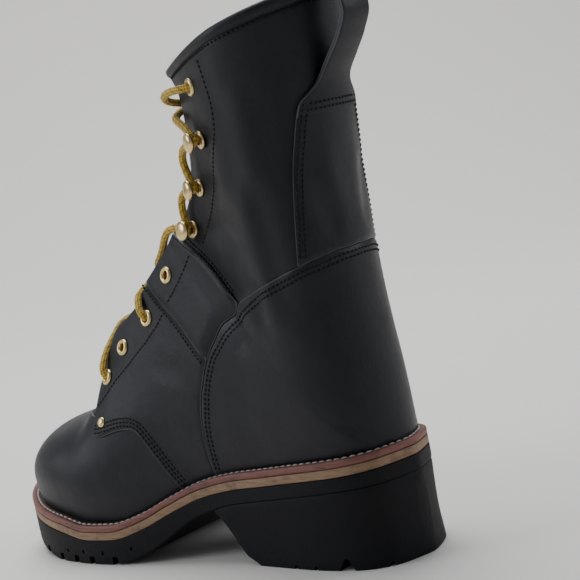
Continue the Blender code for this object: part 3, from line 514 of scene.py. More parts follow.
def leather_piece(name, sections, arounds, low, high, stuff, nodes=(), keep=None, soft=0.8,
                  shape=None):
    """Leather between two lifts of the skin, with softened cut edges and the distance to them."""
    sections, arounds, low, high = np.broadcast_arrays(
        np.asarray(sections, float), np.asarray(arounds, float), low, high)
    rows, columns = sections.shape
    if keep is None:
        keep = np.ones((rows - 1, columns - 1), bool)
    flat = skin(sections, arounds, high).reshape(-1, 3)
    index = {}
    merged = []
    used = []
    for number, point in enumerate(np.round(flat * PLACES_PER_MM).astype(int)):
        key = tuple(point)
        if key not in index:
            index[key] = len(used)
            used.append(number)
        merged.append(index[key])
    count = len(used)
    faces = []
    directed = set()
    for row, column in zip(*np.nonzero(keep)):
        corner = row * columns + column
        ring = []
        for spot in (corner, corner + 1, corner + columns + 1, corner + columns):
            if merged[spot] not in ring:
                ring.append(merged[spot])
        if len(ring) < 3:
            continue
        faces.append(tuple(ring))
        faces.append(tuple(place + count for place in reversed(ring)))
        directed.update(zip(ring, ring[1:] + ring[:1]))
    border = [pair for pair in sorted(directed) if (pair[1], pair[0]) not in directed]
    samples = []
    outer = flat[used]
    for first, second in border:
        steps = max(1, int(np.linalg.norm(outer[first] - outer[second]) / RIM_STEP))
        for step in range(steps):
            samples.append(outer[first] + (outer[second] - outer[first]) * step / steps)
    tree = KDTree(len(samples))
    for number, point in enumerate(samples):
        tree.insert(point, number)
    tree.balance()
    rim = np.array([tree.find(point)[2] for point in outer])
    drop = soft * (1 - np.sqrt(1 - (1 - np.clip(rim / soft, 0, 1)) ** 2)) * EDGE_ROUND
    section_used = sections.reshape(-1)[used]
    around_used = arounds.reshape(-1)[used]
    high_used = high.reshape(-1)[used] - drop
    low_used = low.reshape(-1)[used]
    if shape is not None:
        high_used, low_used = shape(section_used, around_used, rim, high_used, low_used)
    points = np.concatenate([world(skin(section_used, around_used, high_used)),
                             world(skin(section_used, around_used, low_used))])
    for first, second in border:
        faces.append((second, first, first + count, second + count))
    piece = new_piece(name, points, faces, stuff, nodes)
    crease(piece, LEATHER_CREASE)
    mark(piece, "rim", np.concatenate([rim, rim]))
    return piece


LEATHER_COLOUR = (0.0028, 0.0036, 0.0070)
LEATHER_LIGHT = (0.0066, 0.0070, 0.0108)
LEATHER_BROWN = (0.0115, 0.0088, 0.0092)
CUT_EDGE = (0.095, 0.095, 0.108)


def black_leather(name, roughness):
    """Oiled black leather: fine grain, soft cloudy tone and a pale raw edge."""
    stuff = Finish(name)
    cloud = stuff.noise(14.0, 4.0)
    blotch = stuff.noise(48.0, 5.0, 0.65)
    tone = stuff.mix(stuff.between(cloud, 0.38, 0.68), LEATHER_COLOUR, LEATHER_LIGHT)
    tone = stuff.mix(stuff.between(blotch, 0.56, 0.78) * 0.55, tone, LEATHER_BROWN)
    rim = stuff.attribute("rim")
    raw = (1 - stuff.between(rim, 0.12, 0.5)) * (0.45 + stuff.noise(260.0) * 0.8)
    tone = stuff.mix(raw, tone, CUT_EDGE)
    pores = stuff.grains(1500.0)
    crinkle = stuff.noise(650.0, 4.0, 0.6)
    worn = stuff.noise(120.0, 4.0, 0.6)
    height = stuff.between(pores, 0.0, 0.09) * 0.35 + crinkle * 0.65
    below = stuff.bump(worn, 0.0004, stuff.bump(stuff.noise(13.0, 2.0), 0.0035))
    normal = stuff.bump(height, 0.00011, below)
    shine = roughness + (blotch - 0.5) * 0.22 + (crinkle - 0.5) * 0.12
    return stuff.finish(Base_Color=tone, Roughness=shine, Normal=normal, Coat_Weight=0.04,
                        Coat_Roughness=0.35, Specular_IOR_Level=0.31)


UPPER_LEATHER = black_leather("upper_leather", 0.45)
UPPER_COLUMNS = 44
MIDDLE_COLUMNS = 14
# Collar roll: distance below the edge, lift outside, lift inside
COLLAR_ROLL = [
    (9.0, 0.0, -2.2), (7.4, 0.0, -2.2), (6.9, -0.25, -2.2), (6.4, -0.3, -2.25), (6.0, 0.1, -2.4),
    (5.4, 0.6, -2.7), (4.4, 0.95, -3.0), (3.2, 1.05, -3.1), (2.0, 0.95, -3.0), (1.1, 0.6, -2.7),
    (0.5, 0.1, -2.2), (0.15, -0.4, -1.7), (0.0, -0.75, -1.4),
]
# Millimetres that one section spans below the collar: at the ridge, more at the back, over the throat
RIDGE_SPAN = 7.5
BACK_SPAN = 16.5
THROAT_SPAN = 11.0


def below_collar(distance, around):
    """Section that lies some millimetres below the collar's edge."""
    return COLLAR_SECTION - distance / (RIDGE_SPAN + BACK_SPAN * np.abs(around))


def build_upper():
    rows = list(np.concatenate([np.linspace(0, 1, 13), np.linspace(1.1, 6.4, 34),
                                np.linspace(6.5, 9.5, 24), np.linspace(9.7, 16.0, 42),
                                np.linspace(16.2, 26.0, 62)]))
    sections, arounds, low, high = [], [], [], []

    def add_row(place, middle_place, outside, inside):
        limit = edge(THROAT_EDGE, middle_place)
        share = np.linspace(0, 1, UPPER_COLUMNS)
        outer = 1 + (limit - 1) * share
        middle = np.linspace(limit, -limit, MIDDLE_COLUMNS)[1:-1]
        line = np.concatenate([outer, middle, -outer[::-1]])
        sections.append(place(line) if callable(place) else np.full(len(line), place))
        arounds.append(line)
        low.append(np.full(len(line), inside))
        high.append(np.full(len(line), outside))

    for row in rows:
        add_row(row, row, 0.0, -WALL)
    for below, outside, inside in COLLAR_ROLL:
        add_row(lambda line, below=below: below_collar(below, line),
                COLLAR_SECTION - below / THROAT_SPAN, outside, inside)
    sections = np.array(sections)
    keep = np.ones((sections.shape[0] - 1, sections.shape[1] - 1), bool)
    start = int(np.argmin(np.abs(np.array(rows) - THROAT_START)))
    keep[start:, UPPER_COLUMNS - 1:UPPER_COLUMNS + MIDDLE_COLUMNS - 2] = False
    return leather_piece("upper_shaft", sections, np.array(arounds), np.array(low), np.array(high),
                         UPPER_LEATHER, ("upper",), keep, soft=0.5)


build_upper()

# Quarters: front side panels of the same leather, laid over the vamp and riveted at the front corner.
# Three rows of stitching follow the lower edge, and one row marks the eyelet stay.
QUARTER_FRONT = [
    # section, around
    (7.42, 0.495), (7.60, 0.42), (7.80, 0.36), (8.0, 0.32), (8.6, 0.29), (9.1, 0.245), (9.5, 0.205),
    (10.5, 0.22), (11.1, 0.215), (11.9, 0.17), (13.9, 0.17), (15.7, 0.165),
]
QUARTER_REAR = [
    # section, around
    (7.42, 0.505), (7.69, 0.531), (8.37, 0.572), (8.76, 0.602), (9.08, 0.633), (9.20, 0.68),
    (9.25, 0.76), (9.29, 0.84), (9.32, 0.92), (9.35, 1.0), (10.46, 1.0),
]
COUNTER_EDGE = [
    # section, around
    (10.50, 0.99), (10.56, 0.95), (10.84, 0.841), (11.25, 0.737), (11.78, 0.653), (12.39, 0.597),
    (12.95, 0.558), (13.43, 0.533), (14.76, 0.499), (16.82, 0.507), (18.68, 0.585),
    (19.63, 0.657), (20.46, 0.746), (20.93, 0.827), (21.25, 0.913), (21.32, 0.985),
]
STRAP_LOWER = [
    # around, section
    (0.14, 12.05), (0.176, 12.13), (0.304, 12.42), (0.34, 12.53), (0.422, 12.79), (0.56, 12.95),
]
STRAP_UPPER = [
    # around, section
    (0.14, 15.5), (0.236, 15.9), (0.344, 16.78), (0.428, 17.06), (0.56, 17.05),
]
QUARTER_LEATHER = black_leather("quarter_leather", 0.44)
QUARTER_COLUMNS = 34


def build_quarter(side, sign):
    rows = list(np.concatenate([np.linspace(7.42, 9.1, 26), np.linspace(9.12, 9.36, 17),
                                np.linspace(9.45, 10.45, 9), np.linspace(10.52, 13.0, 24)]))
    sections, arounds = [], []
    for row in rows:
        rear = edge(QUARTER_REAR, row) if row < 10.5 else edge(COUNTER_EDGE, row) - 0.006
        front = edge(QUARTER_FRONT, row)
        share = np.linspace(0, 1, QUARTER_COLUMNS)
        arounds.append((rear + (front - rear) * share) * sign)
        sections.append(np.full(QUARTER_COLUMNS, row))
    return leather_piece(f"quarter_panel_{side}", sections, arounds, OVERLAY_BASE, GAP + OVERLAY,
                         QUARTER_LEATHER, (f"quarter_{side}",))


for side, sign in SIDES:
    build_quarter(side, sign)

# Ankle straps: a second layer of leather across the top of each quarter, turned under and stitched at
# both edges. The stitching is double above and single below.
STRAP_ROWS = 26
STRAP_TUCK = 0.045
STRAP_DIP = 0.5


def tucked(section, around, rim, high, low):
    """Thins the strap toward the counter, which is laid over its end."""
    away = np.clip((edge(COUNTER_EDGE, section) - np.abs(around)) / STRAP_TUCK, 0, 1)
    return high - (STRAP_RISE + STRAP_DIP) * (1 - eased(away)), low


def build_strap(side, sign):
    sections, arounds = [], []
    for share in np.linspace(0, 1, STRAP_ROWS):
        front = edge(QUARTER_FRONT, min(12.1 + 3.5 * share, 15.6)) - 0.004
        rear = edge(COUNTER_EDGE, 12.93 + 4.1 * share) - 0.006
        line = rear + (front - rear) * np.linspace(0, 1, QUARTER_COLUMNS)
        low = edge(STRAP_LOWER, line)
        high = edge(STRAP_UPPER, line)
        sections.append(low + (high - low) * share)
        arounds.append(line * sign)
    return leather_piece(f"ankle_strap_{side}", sections, arounds, OVERLAY_BASE,
                         GAP + OVERLAY + STRAP_RISE, QUARTER_LEATHER,
                         (f"quarter_{side}",), soft=1.1, shape=tucked)


for side, sign in SIDES:
    build_strap(side, sign)

# Heel counter: one stiff panel wrapped round the back of the heel and lasted under with the upper.
# Its edge is double stitched to the quarters and the shaft.
COUNTER_COLUMNS = 30


def build_counter():
    rows = np.concatenate([np.linspace(10.5, 11.2, 9), np.linspace(11.35, 20.2, 64),
                           np.linspace(20.3, 21.32, 14)])
    sections, arounds = [], []
    for row in rows:
        front = edge(COUNTER_EDGE, row)
        outer = 1 + (front - 1) * np.linspace(1, 0, COUNTER_COLUMNS)
        line = np.concatenate([outer, -outer[::-1]])
        arounds.append(line)
        sections.append(np.full(len(line), row))
    keep = np.ones((len(rows) - 1, 2 * COUNTER_COLUMNS - 1), bool)
    keep[:, COUNTER_COLUMNS - 1] = False
    return leather_piece("counter_panel", sections, arounds, OVERLAY_BASE, GAP + OVERLAY,
                         black_leather("counter_leather", 0.42),
                         ("heel_counter",), keep)


build_counter()

# Backstay: strip up the back seam above the counter, with two rows of stitches along each edge and
# two across its top, where it leaves the shaft and becomes the pull loop.
BACKSTAY_EDGE = [
    # section, around
    (20.3, 0.76), (20.8, 0.768), (22.3, 0.795), (23.0, 0.807), (24.1, 0.834), (24.7, 0.858),
    (24.95, 0.89), (25.2, 0.93), (25.4, 0.955),
]
COUNTER_TOP = [
    # around, section
    (0.76, 20.56), (0.83, 20.95), (0.913, 21.25), (1.0, 21.34),
]
BACKSTAY_COLUMNS = 16
BACKSTAY_TOP = 24.5
STAY_LEATHER = black_leather("backstay_leather", 0.42)


def build_backstay():
    sections, arounds = [], []
    shares = np.linspace(0, 1, 44)
    for share in shares:
        row = 20.9 + (BACKSTAY_TOP - 20.9) * share
        front = edge(BACKSTAY_EDGE, row)
        outer = front + (1 - front) * np.linspace(0, 1, BACKSTAY_COLUMNS)
        line = np.concatenate([outer, -outer[::-1]])
        base = edge(COUNTER_TOP, np.abs(line)) + 0.02
        sections.append(base + (BACKSTAY_TOP - base) * share)
        arounds.append(line)
    keep = np.ones((len(shares) - 1, 2 * BACKSTAY_COLUMNS - 1), bool)
    keep[:, BACKSTAY_COLUMNS - 1] = False
    return leather_piece("backstay_strip", sections, arounds, OVERLAY_BASE, GAP + OVERLAY, STAY_LEATHER,
                         ("backstay",), keep)


build_backstay()

# Pull loop: the backstay's upper end, a doubled leather strap that stands off the collar, folds over
# it and is sewn down inside. Its cut edges show two pale layers.
PULL_LOOP = [
    # along, up, cross bow
    (8.6, 230.5, 0.012), (7.9, 236.0, 0.012), (5.9, 244.0, 0.011), (-0.5, 256.0, 0.010),
    (-9.0, 267.5, 0.008), (-14.3, 279.0, 0.007), (-12.8, 290.0, 0.006), (-6.5, 297.6, 0.004),
    (1.6, 299.8, 0.002), (7.6, 296.4, -0.002), (9.3, 287.0, -0.006), (9.9, 272.0, -0.006),
]
LOOP_HALF_WIDTH = 12.5
LOOP_WAIST = 2.0
LOOP_THICKNESS = 2.6
LOOP_STEPS = 140
LOOP_COLUMNS = 25
LOOP_SEWN = 6.0
LOOP_LEAVES = 24.0
LOOP_SPREAD = 0.93
LOOP_LIFT = 0.12
LOOP_SINK = 0.5
LOOP_SINK_RUN = 0.8
STRAP_EDGE_LIGHT = (0.10, 0.10, 0.11)
STRAP_EDGE_DARK = (0.02, 0.02, 0.022)


def travelled(points):
    """Distance along a chain of points, at each of them."""
    return np.concatenate([[0.0], np.cumsum(np.linalg.norm(np.diff(points, axis=0), axis=1))])


def strap_leather():
    stuff = Finish("loop_leather")
    tone = stuff.mix(stuff.between(stuff.noise(40.0), 0.35, 0.7), LEATHER_COLOUR, LEATHER_LIGHT)
    side_face = stuff.attribute("cut")
    depth = stuff.attribute("layer")
    seam = stuff.between(depth, 0.35, 0.5) * (1 - stuff.between(depth, 0.5, 0.65))
    pale = stuff.mix(seam, STRAP_EDGE_LIGHT, STRAP_EDGE_DARK)
    tone = stuff.mix(stuff.between(side_face, 0.55, 0.9) * 0.8, tone, pale)
    fine = stuff.noise(650.0, 4.0, 0.6)
    return stuff.finish(Base_Color=tone, Roughness=0.46 + fine * 0.14, Coat_Weight=0.04,
                        Normal=stuff.bump(fine, 0.00012), Specular_IOR_Level=0.31)


def build_loop():
    path = np.array(PULL_LOOP)
    travel = travelled(path[:, :2])
    fine = np.linspace(0, travel[-1], LOOP_STEPS)
    line = along_table(np.column_stack([travel, path]), fine)
    tangent = np.gradient(line[:, :2], axis=0)
    tangent = tangent / np.linalg.norm(tangent, axis=1, keepdims=True)
    normal = np.column_stack([-tangent[:, 1], tangent[:, 0]])
    shares = np.linspace(-1, 1, LOOP_COLUMNS)
    rounds = LOOP_THICKNESS / 2 * (1 - 0.25 * np.clip((np.abs(shares) - 0.9) / 0.1, 0, 1) ** 2)
    points, cut, layer = [], [], []
    for place, out, bow, run in zip(line[:, :2], normal, line[:, 2], fine):
        done = run / travel[-1]
        free = eased(min(1.0, max(0.0, (run - LOOP_SEWN) / LOOP_LEAVES)))
        half_width = LOOP_HALF_WIDTH - LOOP_WAIST * math.sin(math.pi * min(1.0, done * 1.25)) ** 2
        section = float(np.interp(place[1], (222.0, 246.0, 270.0), (24.0, 25.0, 26.0)))
        stay = edge(BACKSTAY_EDGE, section) * (1 - free) + free * LOOP_SPREAD
        around = (1 - np.abs(shares) * (1 - stay)) * np.where(shares >= 0, 1.0, -1.0)
        sunk = LOOP_SINK * math.exp(-run / LOOP_SINK_RUN)
        for face in (1, -1):
            low = GAP + OVERLAY - sunk + LOOP_LIFT if face > 0 else OVERLAY_BASE
            sewn = skin(np.full(LOOP_COLUMNS, section), around, low)
            for share, half, held in zip(shares, rounds, sewn):
                side = share * half_width
                spot = place + out * (half * face - bow * side * side)
                points.append(np.array((side, spot[0], spot[1])) * free + held * (1 - free))
                cut.append(1.0 if abs(share) > 0.999 else 0.0)
                layer.append(0.0 if face > 0 else 1.0)
    ring = 2 * LOOP_COLUMNS
    loop = list(range(LOOP_COLUMNS)) + list(range(ring - 1, LOOP_COLUMNS - 1, -1))
    faces = []
    for row in range(LOOP_STEPS - 1):
        base = row * ring
        for first, second in zip(loop, loop[1:] + loop[:1]):
            faces.append((base + first, base + second, base + ring + second, base + ring + first))
    for base in (0, (LOOP_STEPS - 1) * ring):
        for column in range(LOOP_COLUMNS - 1):
            faces.append((base + column, base + column + 1, base + LOOP_COLUMNS + column + 1,
                          base + LOOP_COLUMNS + column))
    piece = new_piece("pull_loop", world(points), faces, strap_leather(), ("backstay",))
    crease(piece, LEATHER_CREASE)
    mark(piece, "cut", cut)
    mark(piece, "layer", layer)


build_loop()

# Tongue: softer, thinner leather that closes the throat from below. It is sewn to the vamp and folded
# in at both sides under the quarters.
TONGUE_DEPTH = 3.1
TONGUE_DEPTH_LOW = 4.2
TONGUE_THICKNESS = 2.0
TONGUE_CLEAR = 0.3
TONGUE_REACH = 0.2
TONGUE_RIPPLE = 0.35
TONGUE_COLUMNS = 40


def build_tongue():
    rows = np.concatenate([np.linspace(5.6, 10.2, 30), np.linspace(10.5, 26.5, 72)])
    sections, arounds, depths = [], [], []
    for row in rows:
        limit = edge(THROAT_EDGE, row)
        reach = limit + TONGUE_REACH * (1 - limit)
        line = np.linspace(reach, -reach, TONGUE_COLUMNS)
        sections.append(np.full(TONGUE_COLUMNS, row))
        arounds.append(line)
        ripple = TONGUE_RIPPLE * np.sin(row * 2.1 + 3.0 * line) * np.exp(-(line / 0.2) ** 2)
        depth = np.interp(row, (7.7, 10.2), (TONGUE_DEPTH_LOW, TONGUE_DEPTH))
        depths.append(depth + TONGUE_CLEAR - ripple)
    depths = np.array(depths)
    stuff = black_leather("tongue_leather", 0.58)
    return leather_piece("tongue_flap", sections, arounds, -depths - TONGUE_THICKNESS, -depths,
                         stuff, ("tongue",))


build_tongue()

# Stitching on the leather: waxed black thread, each stitch lying in its own small dip.
# The rows run beside the edges of the panels at the distances that the maker's machine keeps.
STITCH_PITCH = 2.7
STITCH_LENGTH = 1.8
STITCH_RADIUS = 0.64
HOLE_RADIUS = 0.3
HOLE_LIFT = 0.05
STITCH_SIDES = 6
STITCH_LIFT = 0.08
# Rows beside the eyelets, above, on and below the strap: section, around
EYESTAY_ROW = [
    (26.37, 0.519), (25.54, 0.534), (24.83, 0.544), (23.97, 0.538), (22.74, 0.493), (21.10, 0.425),
    (18.86, 0.351), (17.35, 0.325),
]
EYESTAY_STRAP_ROW = [(15.9, 0.293), (14.44, 0.307), (12.75, 0.342)]
EYESTAY_LOW_ROW = [
    (12.25, 0.352), (11.60, 0.375), (10.52, 0.403), (9.36, 0.430), (8.58, 0.428), (7.73, 0.403),
]
WING_OFFSETS = (2.2, 4.4, 6.6)
DOUBLE_OFFSETS = (2.2, 4.8)
STRAP_OFFSETS = (2.4, 4.8)
STRAP_END = 2.0
# Cross rows on the backstay: heights, outermost place around, sections between which they lie
CROSS_HEIGHTS = (234.6, 237.6)
CROSS_END = 0.888
CROSS_SECTIONS = (23.8, 25.2)
COLLAR_ROW_DROP = 7.3
BACK_SPLICE = 0.985


def rounded(points, times):
    """Chain of points with its corners cut off a few times over."""
    for level in range(times):
        first = points[:-1] * 0.75 + points[1:] * 0.25
        second = points[:-1] * 0.25 + points[1:] * 0.75
        inside = np.stack([first, second], 1).reshape(-1, points.shape[1])
        points = np.concatenate([points[:1], inside[1:-1], points[-1:]])
    return points


def read_along(places, travel, values):
    """Every column of values at places along a chain."""
    return np.column_stack([np.interp(places, travel, column) for column in values.T])


def smooth_path(points, pitch=0.5):
    """Even places in millimetres along a chain of section and around."""
    points = rounded(np.array(points, float), 3)
    travel = travelled(bare_skin(points[:, 0], points[:, 1]))
    return read_along(np.arange(0.0, travel[-1], pitch), travel, points)


def beside(path, distance):
    """The path moved sideways over the skin by a distance in millimetres."""
    section, around = path[:, 0], path[:, 1]
    spots = bare_skin(section, around)
    tangent = np.gradient(spots, axis=0)
    tangent = tangent / (np.linalg.norm(tangent, axis=1, keepdims=True) + 1e-9)
    across = np.cross(skin_normal(section, around), tangent)
    step = 0.002
    by_section = (bare_skin(section + step, around) - bare_skin(section - step, around)) / (2 * step)
    by_around = (bare_skin(section, around + step) - bare_skin(section, around - step)) / (2 * step)
    grid = np.stack([by_section, by_around], -1)
    move = np.einsum("nij,nj->ni", np.linalg.pinv(grid), across * distance)
    return path + move


def tube(faces, start, rings, sides, closed=False):
    """Adds the faces between rings of points; a closed tube's last ring meets its first."""
    for ring in range(rings if closed else rings - 1):
        low = start + ring * sides
        high = start + (ring + 1) % rings * sides
        for number in range(sides):
            turn = (number + 1) % sides
            faces.append((low + number, low + turn, high + turn, high + number))


def end_caps(faces, start, rings, sides):
    """Adds a face across the first and the last ring of a tube."""
    for low in (start, start + (rings - 1) * sides):
        faces.append(tuple(range(low, low + sides)))


def stitches(name, paths, lift, stuff, pitch=STITCH_PITCH, length=STITCH_LENGTH,
             radius=STITCH_RADIUS, place=None, holes=True):
    """Joined mesh of thread stitches along paths of section and around, or of placed points."""
    place = place or (lambda path: (skin(path[:, 0], path[:, 1], lift),
                                    skin_normal(path[:, 0], path[:, 1])))
    angles = np.arange(STITCH_SIDES) * 2 * math.pi / STITCH_SIDES
    profile = ((-0.5, 0.25), (-0.32, 0.85), (0.0, 1.0), (0.32, 0.85), (0.5, 0.25))
    points, faces = [], []
    for path in paths:
        spots, normals = place(path)
        travel = travelled(spots)
        middles = np.arange(pitch / 2, travel[-1] - pitch / 3, pitch)
        centre = read_along(middles, travel, spots)
        tangent = read_along(middles, travel, np.gradient(spots, axis=0))
        tangent /= np.linalg.norm(tangent, axis=1, keepdims=True)
        normal = read_along(middles, travel, normals)
        normal -= tangent * np.sum(normal * tangent, 1, keepdims=True)
        normal /= np.linalg.norm(normal, axis=1, keepdims=True)
        cross = np.cross(tangent, normal)
        for middle, ahead, out, wide in zip(centre, tangent, normal, cross):
            start = len(points)
            if holes:
                for angle in angles:
                    points.append(middle + ahead * (pitch / 2 + math.cos(angle) * HOLE_RADIUS)
                                  + wide * math.sin(angle) * HOLE_RADIUS + out * HOLE_LIFT)
                points.append(middle + ahead * pitch / 2 - out * 0.1)
                for number in range(STITCH_SIDES):
                    turn = (number + 1) % STITCH_SIDES
                    faces.append((start + number, start + turn, start + STITCH_SIDES))
                start = len(points)
            for run, size in profile:
                sink = -0.5 * radius * (2 * run) ** 2
                for angle in angles:
                    points.append(middle + ahead * run * length + wide * math.cos(angle) * radius * size
                                  + out * (math.sin(angle) * radius * size + sink))
            tube(faces, start, len(profile), STITCH_SIDES)
            end_caps(faces, start, len(profile), STITCH_SIDES)
    return new_piece(name, world(points), faces, stuff)


def thread_finish(name, colour, roughness):
    stuff = Finish(name)
    strand = stuff.noise(900.0, 2.0)
    tone = stuff.mix(strand, tuple(part * 0.7 for part in colour), colour)
    return stuff.finish(Base_Color=tone, Roughness=roughness + strand * 0.1,
                        Normal=stuff.bump(strand, 0.00015), Specular_IOR_Level=0.3)


BLACK_THREAD = thread_finish("black_thread", (0.0012, 0.0012, 0.0016), 0.5)


def mirrored(path, sign):
    return np.column_stack([path[:, 0], path[:, 1] * sign])


def from_edge(path, distance):
    """The path without its first millimetres."""
    return path[travelled(bare_skin(path[:, 0], path[:, 1])) > distance]


def round_back(half):
    """One path from the outer side round the back to the inner side."""
    half = half[half[:, 1] < BACK_SPLICE]
    return np.concatenate([half, mirrored(half, -1)[::-1]])


def sew_leather():
    on_panel = GAP + OVERLAY
    on_strap = GAP + OVERLAY + STRAP_RISE
    counter = smooth_path(COUNTER_EDGE[1:] + [(21.33, 1.0)])
    wing = smooth_path(QUARTER_REAR[:10])
    strap_top = smooth_path([(section, around) for around, section in STRAP_UPPER[:-1]] + [(17.05, 0.505)])
    strap_low = smooth_path([(section, around) for around, section in STRAP_LOWER])
    stay = smooth_path(BACKSTAY_EDGE[1:6])
    for side, sign in SIDES:
        rows = [(beside(wing, -offset), on_panel) for offset in WING_OFFSETS]
        rows += [(from_edge(beside(strap_top, -offset), STRAP_END), on_strap) for offset in STRAP_OFFSETS]
        rows.append((from_edge(beside(strap_low, STRAP_OFFSETS[0]), STRAP_END), on_strap))
        rows += [(beside(stay, offset), on_panel) for offset in DOUBLE_OFFSETS]
        rows += [(smooth_path(EYESTAY_ROW), 0.0), (smooth_path(EYESTAY_STRAP_ROW), on_strap),
                 (smooth_path(EYESTAY_LOW_ROW), on_panel)]
        for height in sorted({lift for path, lift in rows}):
            paths = [mirrored(path, sign) for path, lift in rows if lift == height]
            stitches(f"stitches_{side}_{int(height * 10)}", paths, height + STITCH_LIFT, BLACK_THREAD)
    rows = [round_back(beside(counter, offset)) for offset in DOUBLE_OFFSETS]
    stitches("stitches_counter", rows, on_panel + STITCH_LIFT, BLACK_THREAD)
    rows = []
    around = np.linspace(CROSS_END, 1.0, 40)
    grid = np.linspace(*CROSS_SECTIONS, 60)
    for height in CROSS_HEIGHTS:
        section = [np.interp(height, bare_skin(grid, place)[:, 2], grid) for place in around]
        half = np.column_stack([section, around])
        rows.append(np.concatenate([half[:-1], mirrored(half, -1)[::-1]]))
    stitches("stitches_backstay_top", rows, on_panel + 0.2, BLACK_THREAD)
    around = np.linspace(0.235, 1.0, 400)
    collar = np.column_stack([below_collar(COLLAR_ROW_DROP, around), around])
    stitches("stitches_collar", [collar, mirrored(collar, -1)], STITCH_LIFT, BLACK_THREAD)


sew_leather()

# Insole: tan leather board inside the boot, to which upper and welt are sewn. It is seen only from
# above, through the collar.
INSOLE_INSET = 3.2
INSOLE_TOP = 2.5
WELT_REACH = 6.5
WELT_INSET = 2.6
WELT_THICKNESS = 3.7


def plan_outline(grow):
    """Outer and inner side points of the boot's plan outline from toe to heel, grown by millimetres."""
    rows = np.concatenate([np.linspace(0, 1, 15), np.linspace(1.1, 14, 76), np.linspace(14.15, 16, 26)])
    outer = bare_skin(rows, 1.0)[:, :2]
    inner = bare_skin(rows, -1.0)[:, :2]
    whole = np.concatenate([outer, inner[::-1][1:-1]])
    step = np.roll(whole, -2, 0) - np.roll(whole, 2, 0)
    normal = np.column_stack([-step[:, 1], step[:, 0]])
    normal = normal / np.linalg.norm(normal, axis=1, keepdims=True)
    if normal[len(rows) // 2, 0] < 0:
        normal = -normal
    grown = whole + normal * grow
    for level in range(3):
        grown = (np.roll(grown, 1, 0) + 2 * grown + np.roll(grown, -1, 0)) / 4
    outer = grown[:len(rows)]
    inner = np.concatenate([grown[:1], grown[len(rows):][::-1], grown[len(rows) - 1:len(rows)]])
    return outer, inner


def slab(name, profile, stuff, nodes):
    """Sheet over the plan outline: profile is grow and a height function, from upper rim to lower rim."""
    points, faces = [], []
    for grow, height in profile:
        for line in plan_outline(grow):
            points.extend((side, along, height(along)) for side, along in line)
    count = len(plan_outline(0.0)[0])
    wide = 2 * count
    for ring in range(len(profile) - 1):
        base = ring * wide
        for row in range(count - 1):
            for shift in (0, count):
                low = base + shift + row
                faces.append((low, low + 1, low + wide + 1, low + wide))
    for base in (0, (len(profile) - 1) * wide):
        for row in range(count - 1):
            faces.append((base + row, base + row + 1, base + count + row + 1, base + count + row))
    piece = new_piece(name, world(points), faces, stuff, nodes, WELD)
    crease(piece, 35)
    return piece


def feather_less(drop):
    return lambda along: feather_up(along) - drop


def board_finish():
    stuff = Finish("insole_board")
    fibre = stuff.noise(240.0, 5.0, 0.7)
    stain = stuff.between(stuff.noise(18.0, 4.0), 0.4, 0.7)
    tone = stuff.mix(fibre, (0.19, 0.115, 0.062), (0.27, 0.17, 0.10))
    tone = stuff.mix(stain * 0.4, tone, (0.12, 0.07, 0.04))
    return stuff.finish(Base_Color=tone, Roughness=0.7 + fibre * 0.2, Normal=stuff.bump(fibre, 0.0003))


slab("insole_sheet", [(-INSOLE_INSET - 1.0, feather_less(-INSOLE_TOP)),
                      (-INSOLE_INSET, feather_less(-INSOLE_TOP + 0.8)),
                      (-INSOLE_INSET, feather_less(WELT_THICKNESS))],
     board_finish(), ("insole",))

# Welt: red-brown leather strip sewn round the whole boot, with a shallow channel on top in which the
# cream stitches lie. Its edge is trimmed, sanded and left a little rough.
WELT_STITCH = 2.7
CREAM_THREAD = thread_finish("cream_thread", (0.66, 0.60, 0.55), 0.65)


def edge_leather(name, first, second, streak, shine):
    """Cut leather edge: drawn-out fibres along the edge, darker streaks and fine sanding marks, and painted
    shade where a piece marks it darker.
    """
    stuff = Finish(name)
    flat = stuff.node("ShaderNodeMapping", Vector=stuff.where)
    flat.socket.node.inputs["Scale"].default_value = (60.0, 60.0, 900.0)
    fibre = stuff.node("ShaderNodeTexNoise", Vector=flat, Scale=1.0, Detail=4.0, Roughness=0.6)
    patch = stuff.noise(55.0, 4.0, 0.65)
    fine = stuff.noise(900.0, 3.0, 0.6)
    tone = stuff.mix(stuff.between(fibre, 0.3, 0.7), first, second)
    tone = stuff.mix(stuff.between(patch * 0.5 + fibre * 0.5, 0.5, 0.62) * 0.75, tone, streak)
    # Painted shade: the tone turns near-black red where the piece marks it, in place of the shade that falls
    # there.
    tone = stuff.mix(stuff.attribute("painted_shade"), tone, (0.022, 0.010, 0.009))
    height = fibre * 0.6 + fine * 0.4
    return stuff.finish(Base_Color=tone, Roughness=shine + fine * 0.2, Normal=stuff.bump(height, 0.0003),
                        Coat_Weight=0.05)


def build_welt():
    profile = [
        # reach, drop below the seam
        (-WELT_INSET, 0.3), (WELT_STITCH - 1.0, 0.3), (WELT_STITCH - 0.6, 0.7), (WELT_STITCH, 0.95),
        (WELT_STITCH + 0.6, 0.7), (WELT_STITCH + 1.0, 0.3), (5.7, 0.38), (6.2, 0.65), (6.45, 1.2),
        (WELT_REACH, 2.6), (6.4, 3.6), (6.0, 4.0), (-WELT_INSET, 4.0),
    ]
    rings = []
    for reach, drop in profile:
        outer, inner = plan_outline(reach)
        ring = np.concatenate([outer, inner[::-1][1:-1]])
        rings.append(np.column_stack([ring, feather_up(ring[:, 1]) - drop]))
    count = len(rings[0])
    faces = []
    tube(faces, 0, len(rings), count, closed=True)
    stuff = edge_leather("welt_leather", (0.155, 0.050, 0.038), (0.24, 0.092, 0.070),
                         (0.060, 0.022, 0.018), 0.5)
    piece = new_piece("welt_strip", world(np.concatenate(rings)), faces, stuff, ("welt",))
    crease(piece, LEATHER_CREASE)
    # Painted shade on the welt's inner top, between the upper and the stitch channel, where the gap falls in
    # shade.
    painted_shade = [0.9 if reach < WELT_STITCH - 0.8 else 0.0 for reach, drop in profile]
    mark(piece, "painted_shade", np.repeat(painted_shade, count))


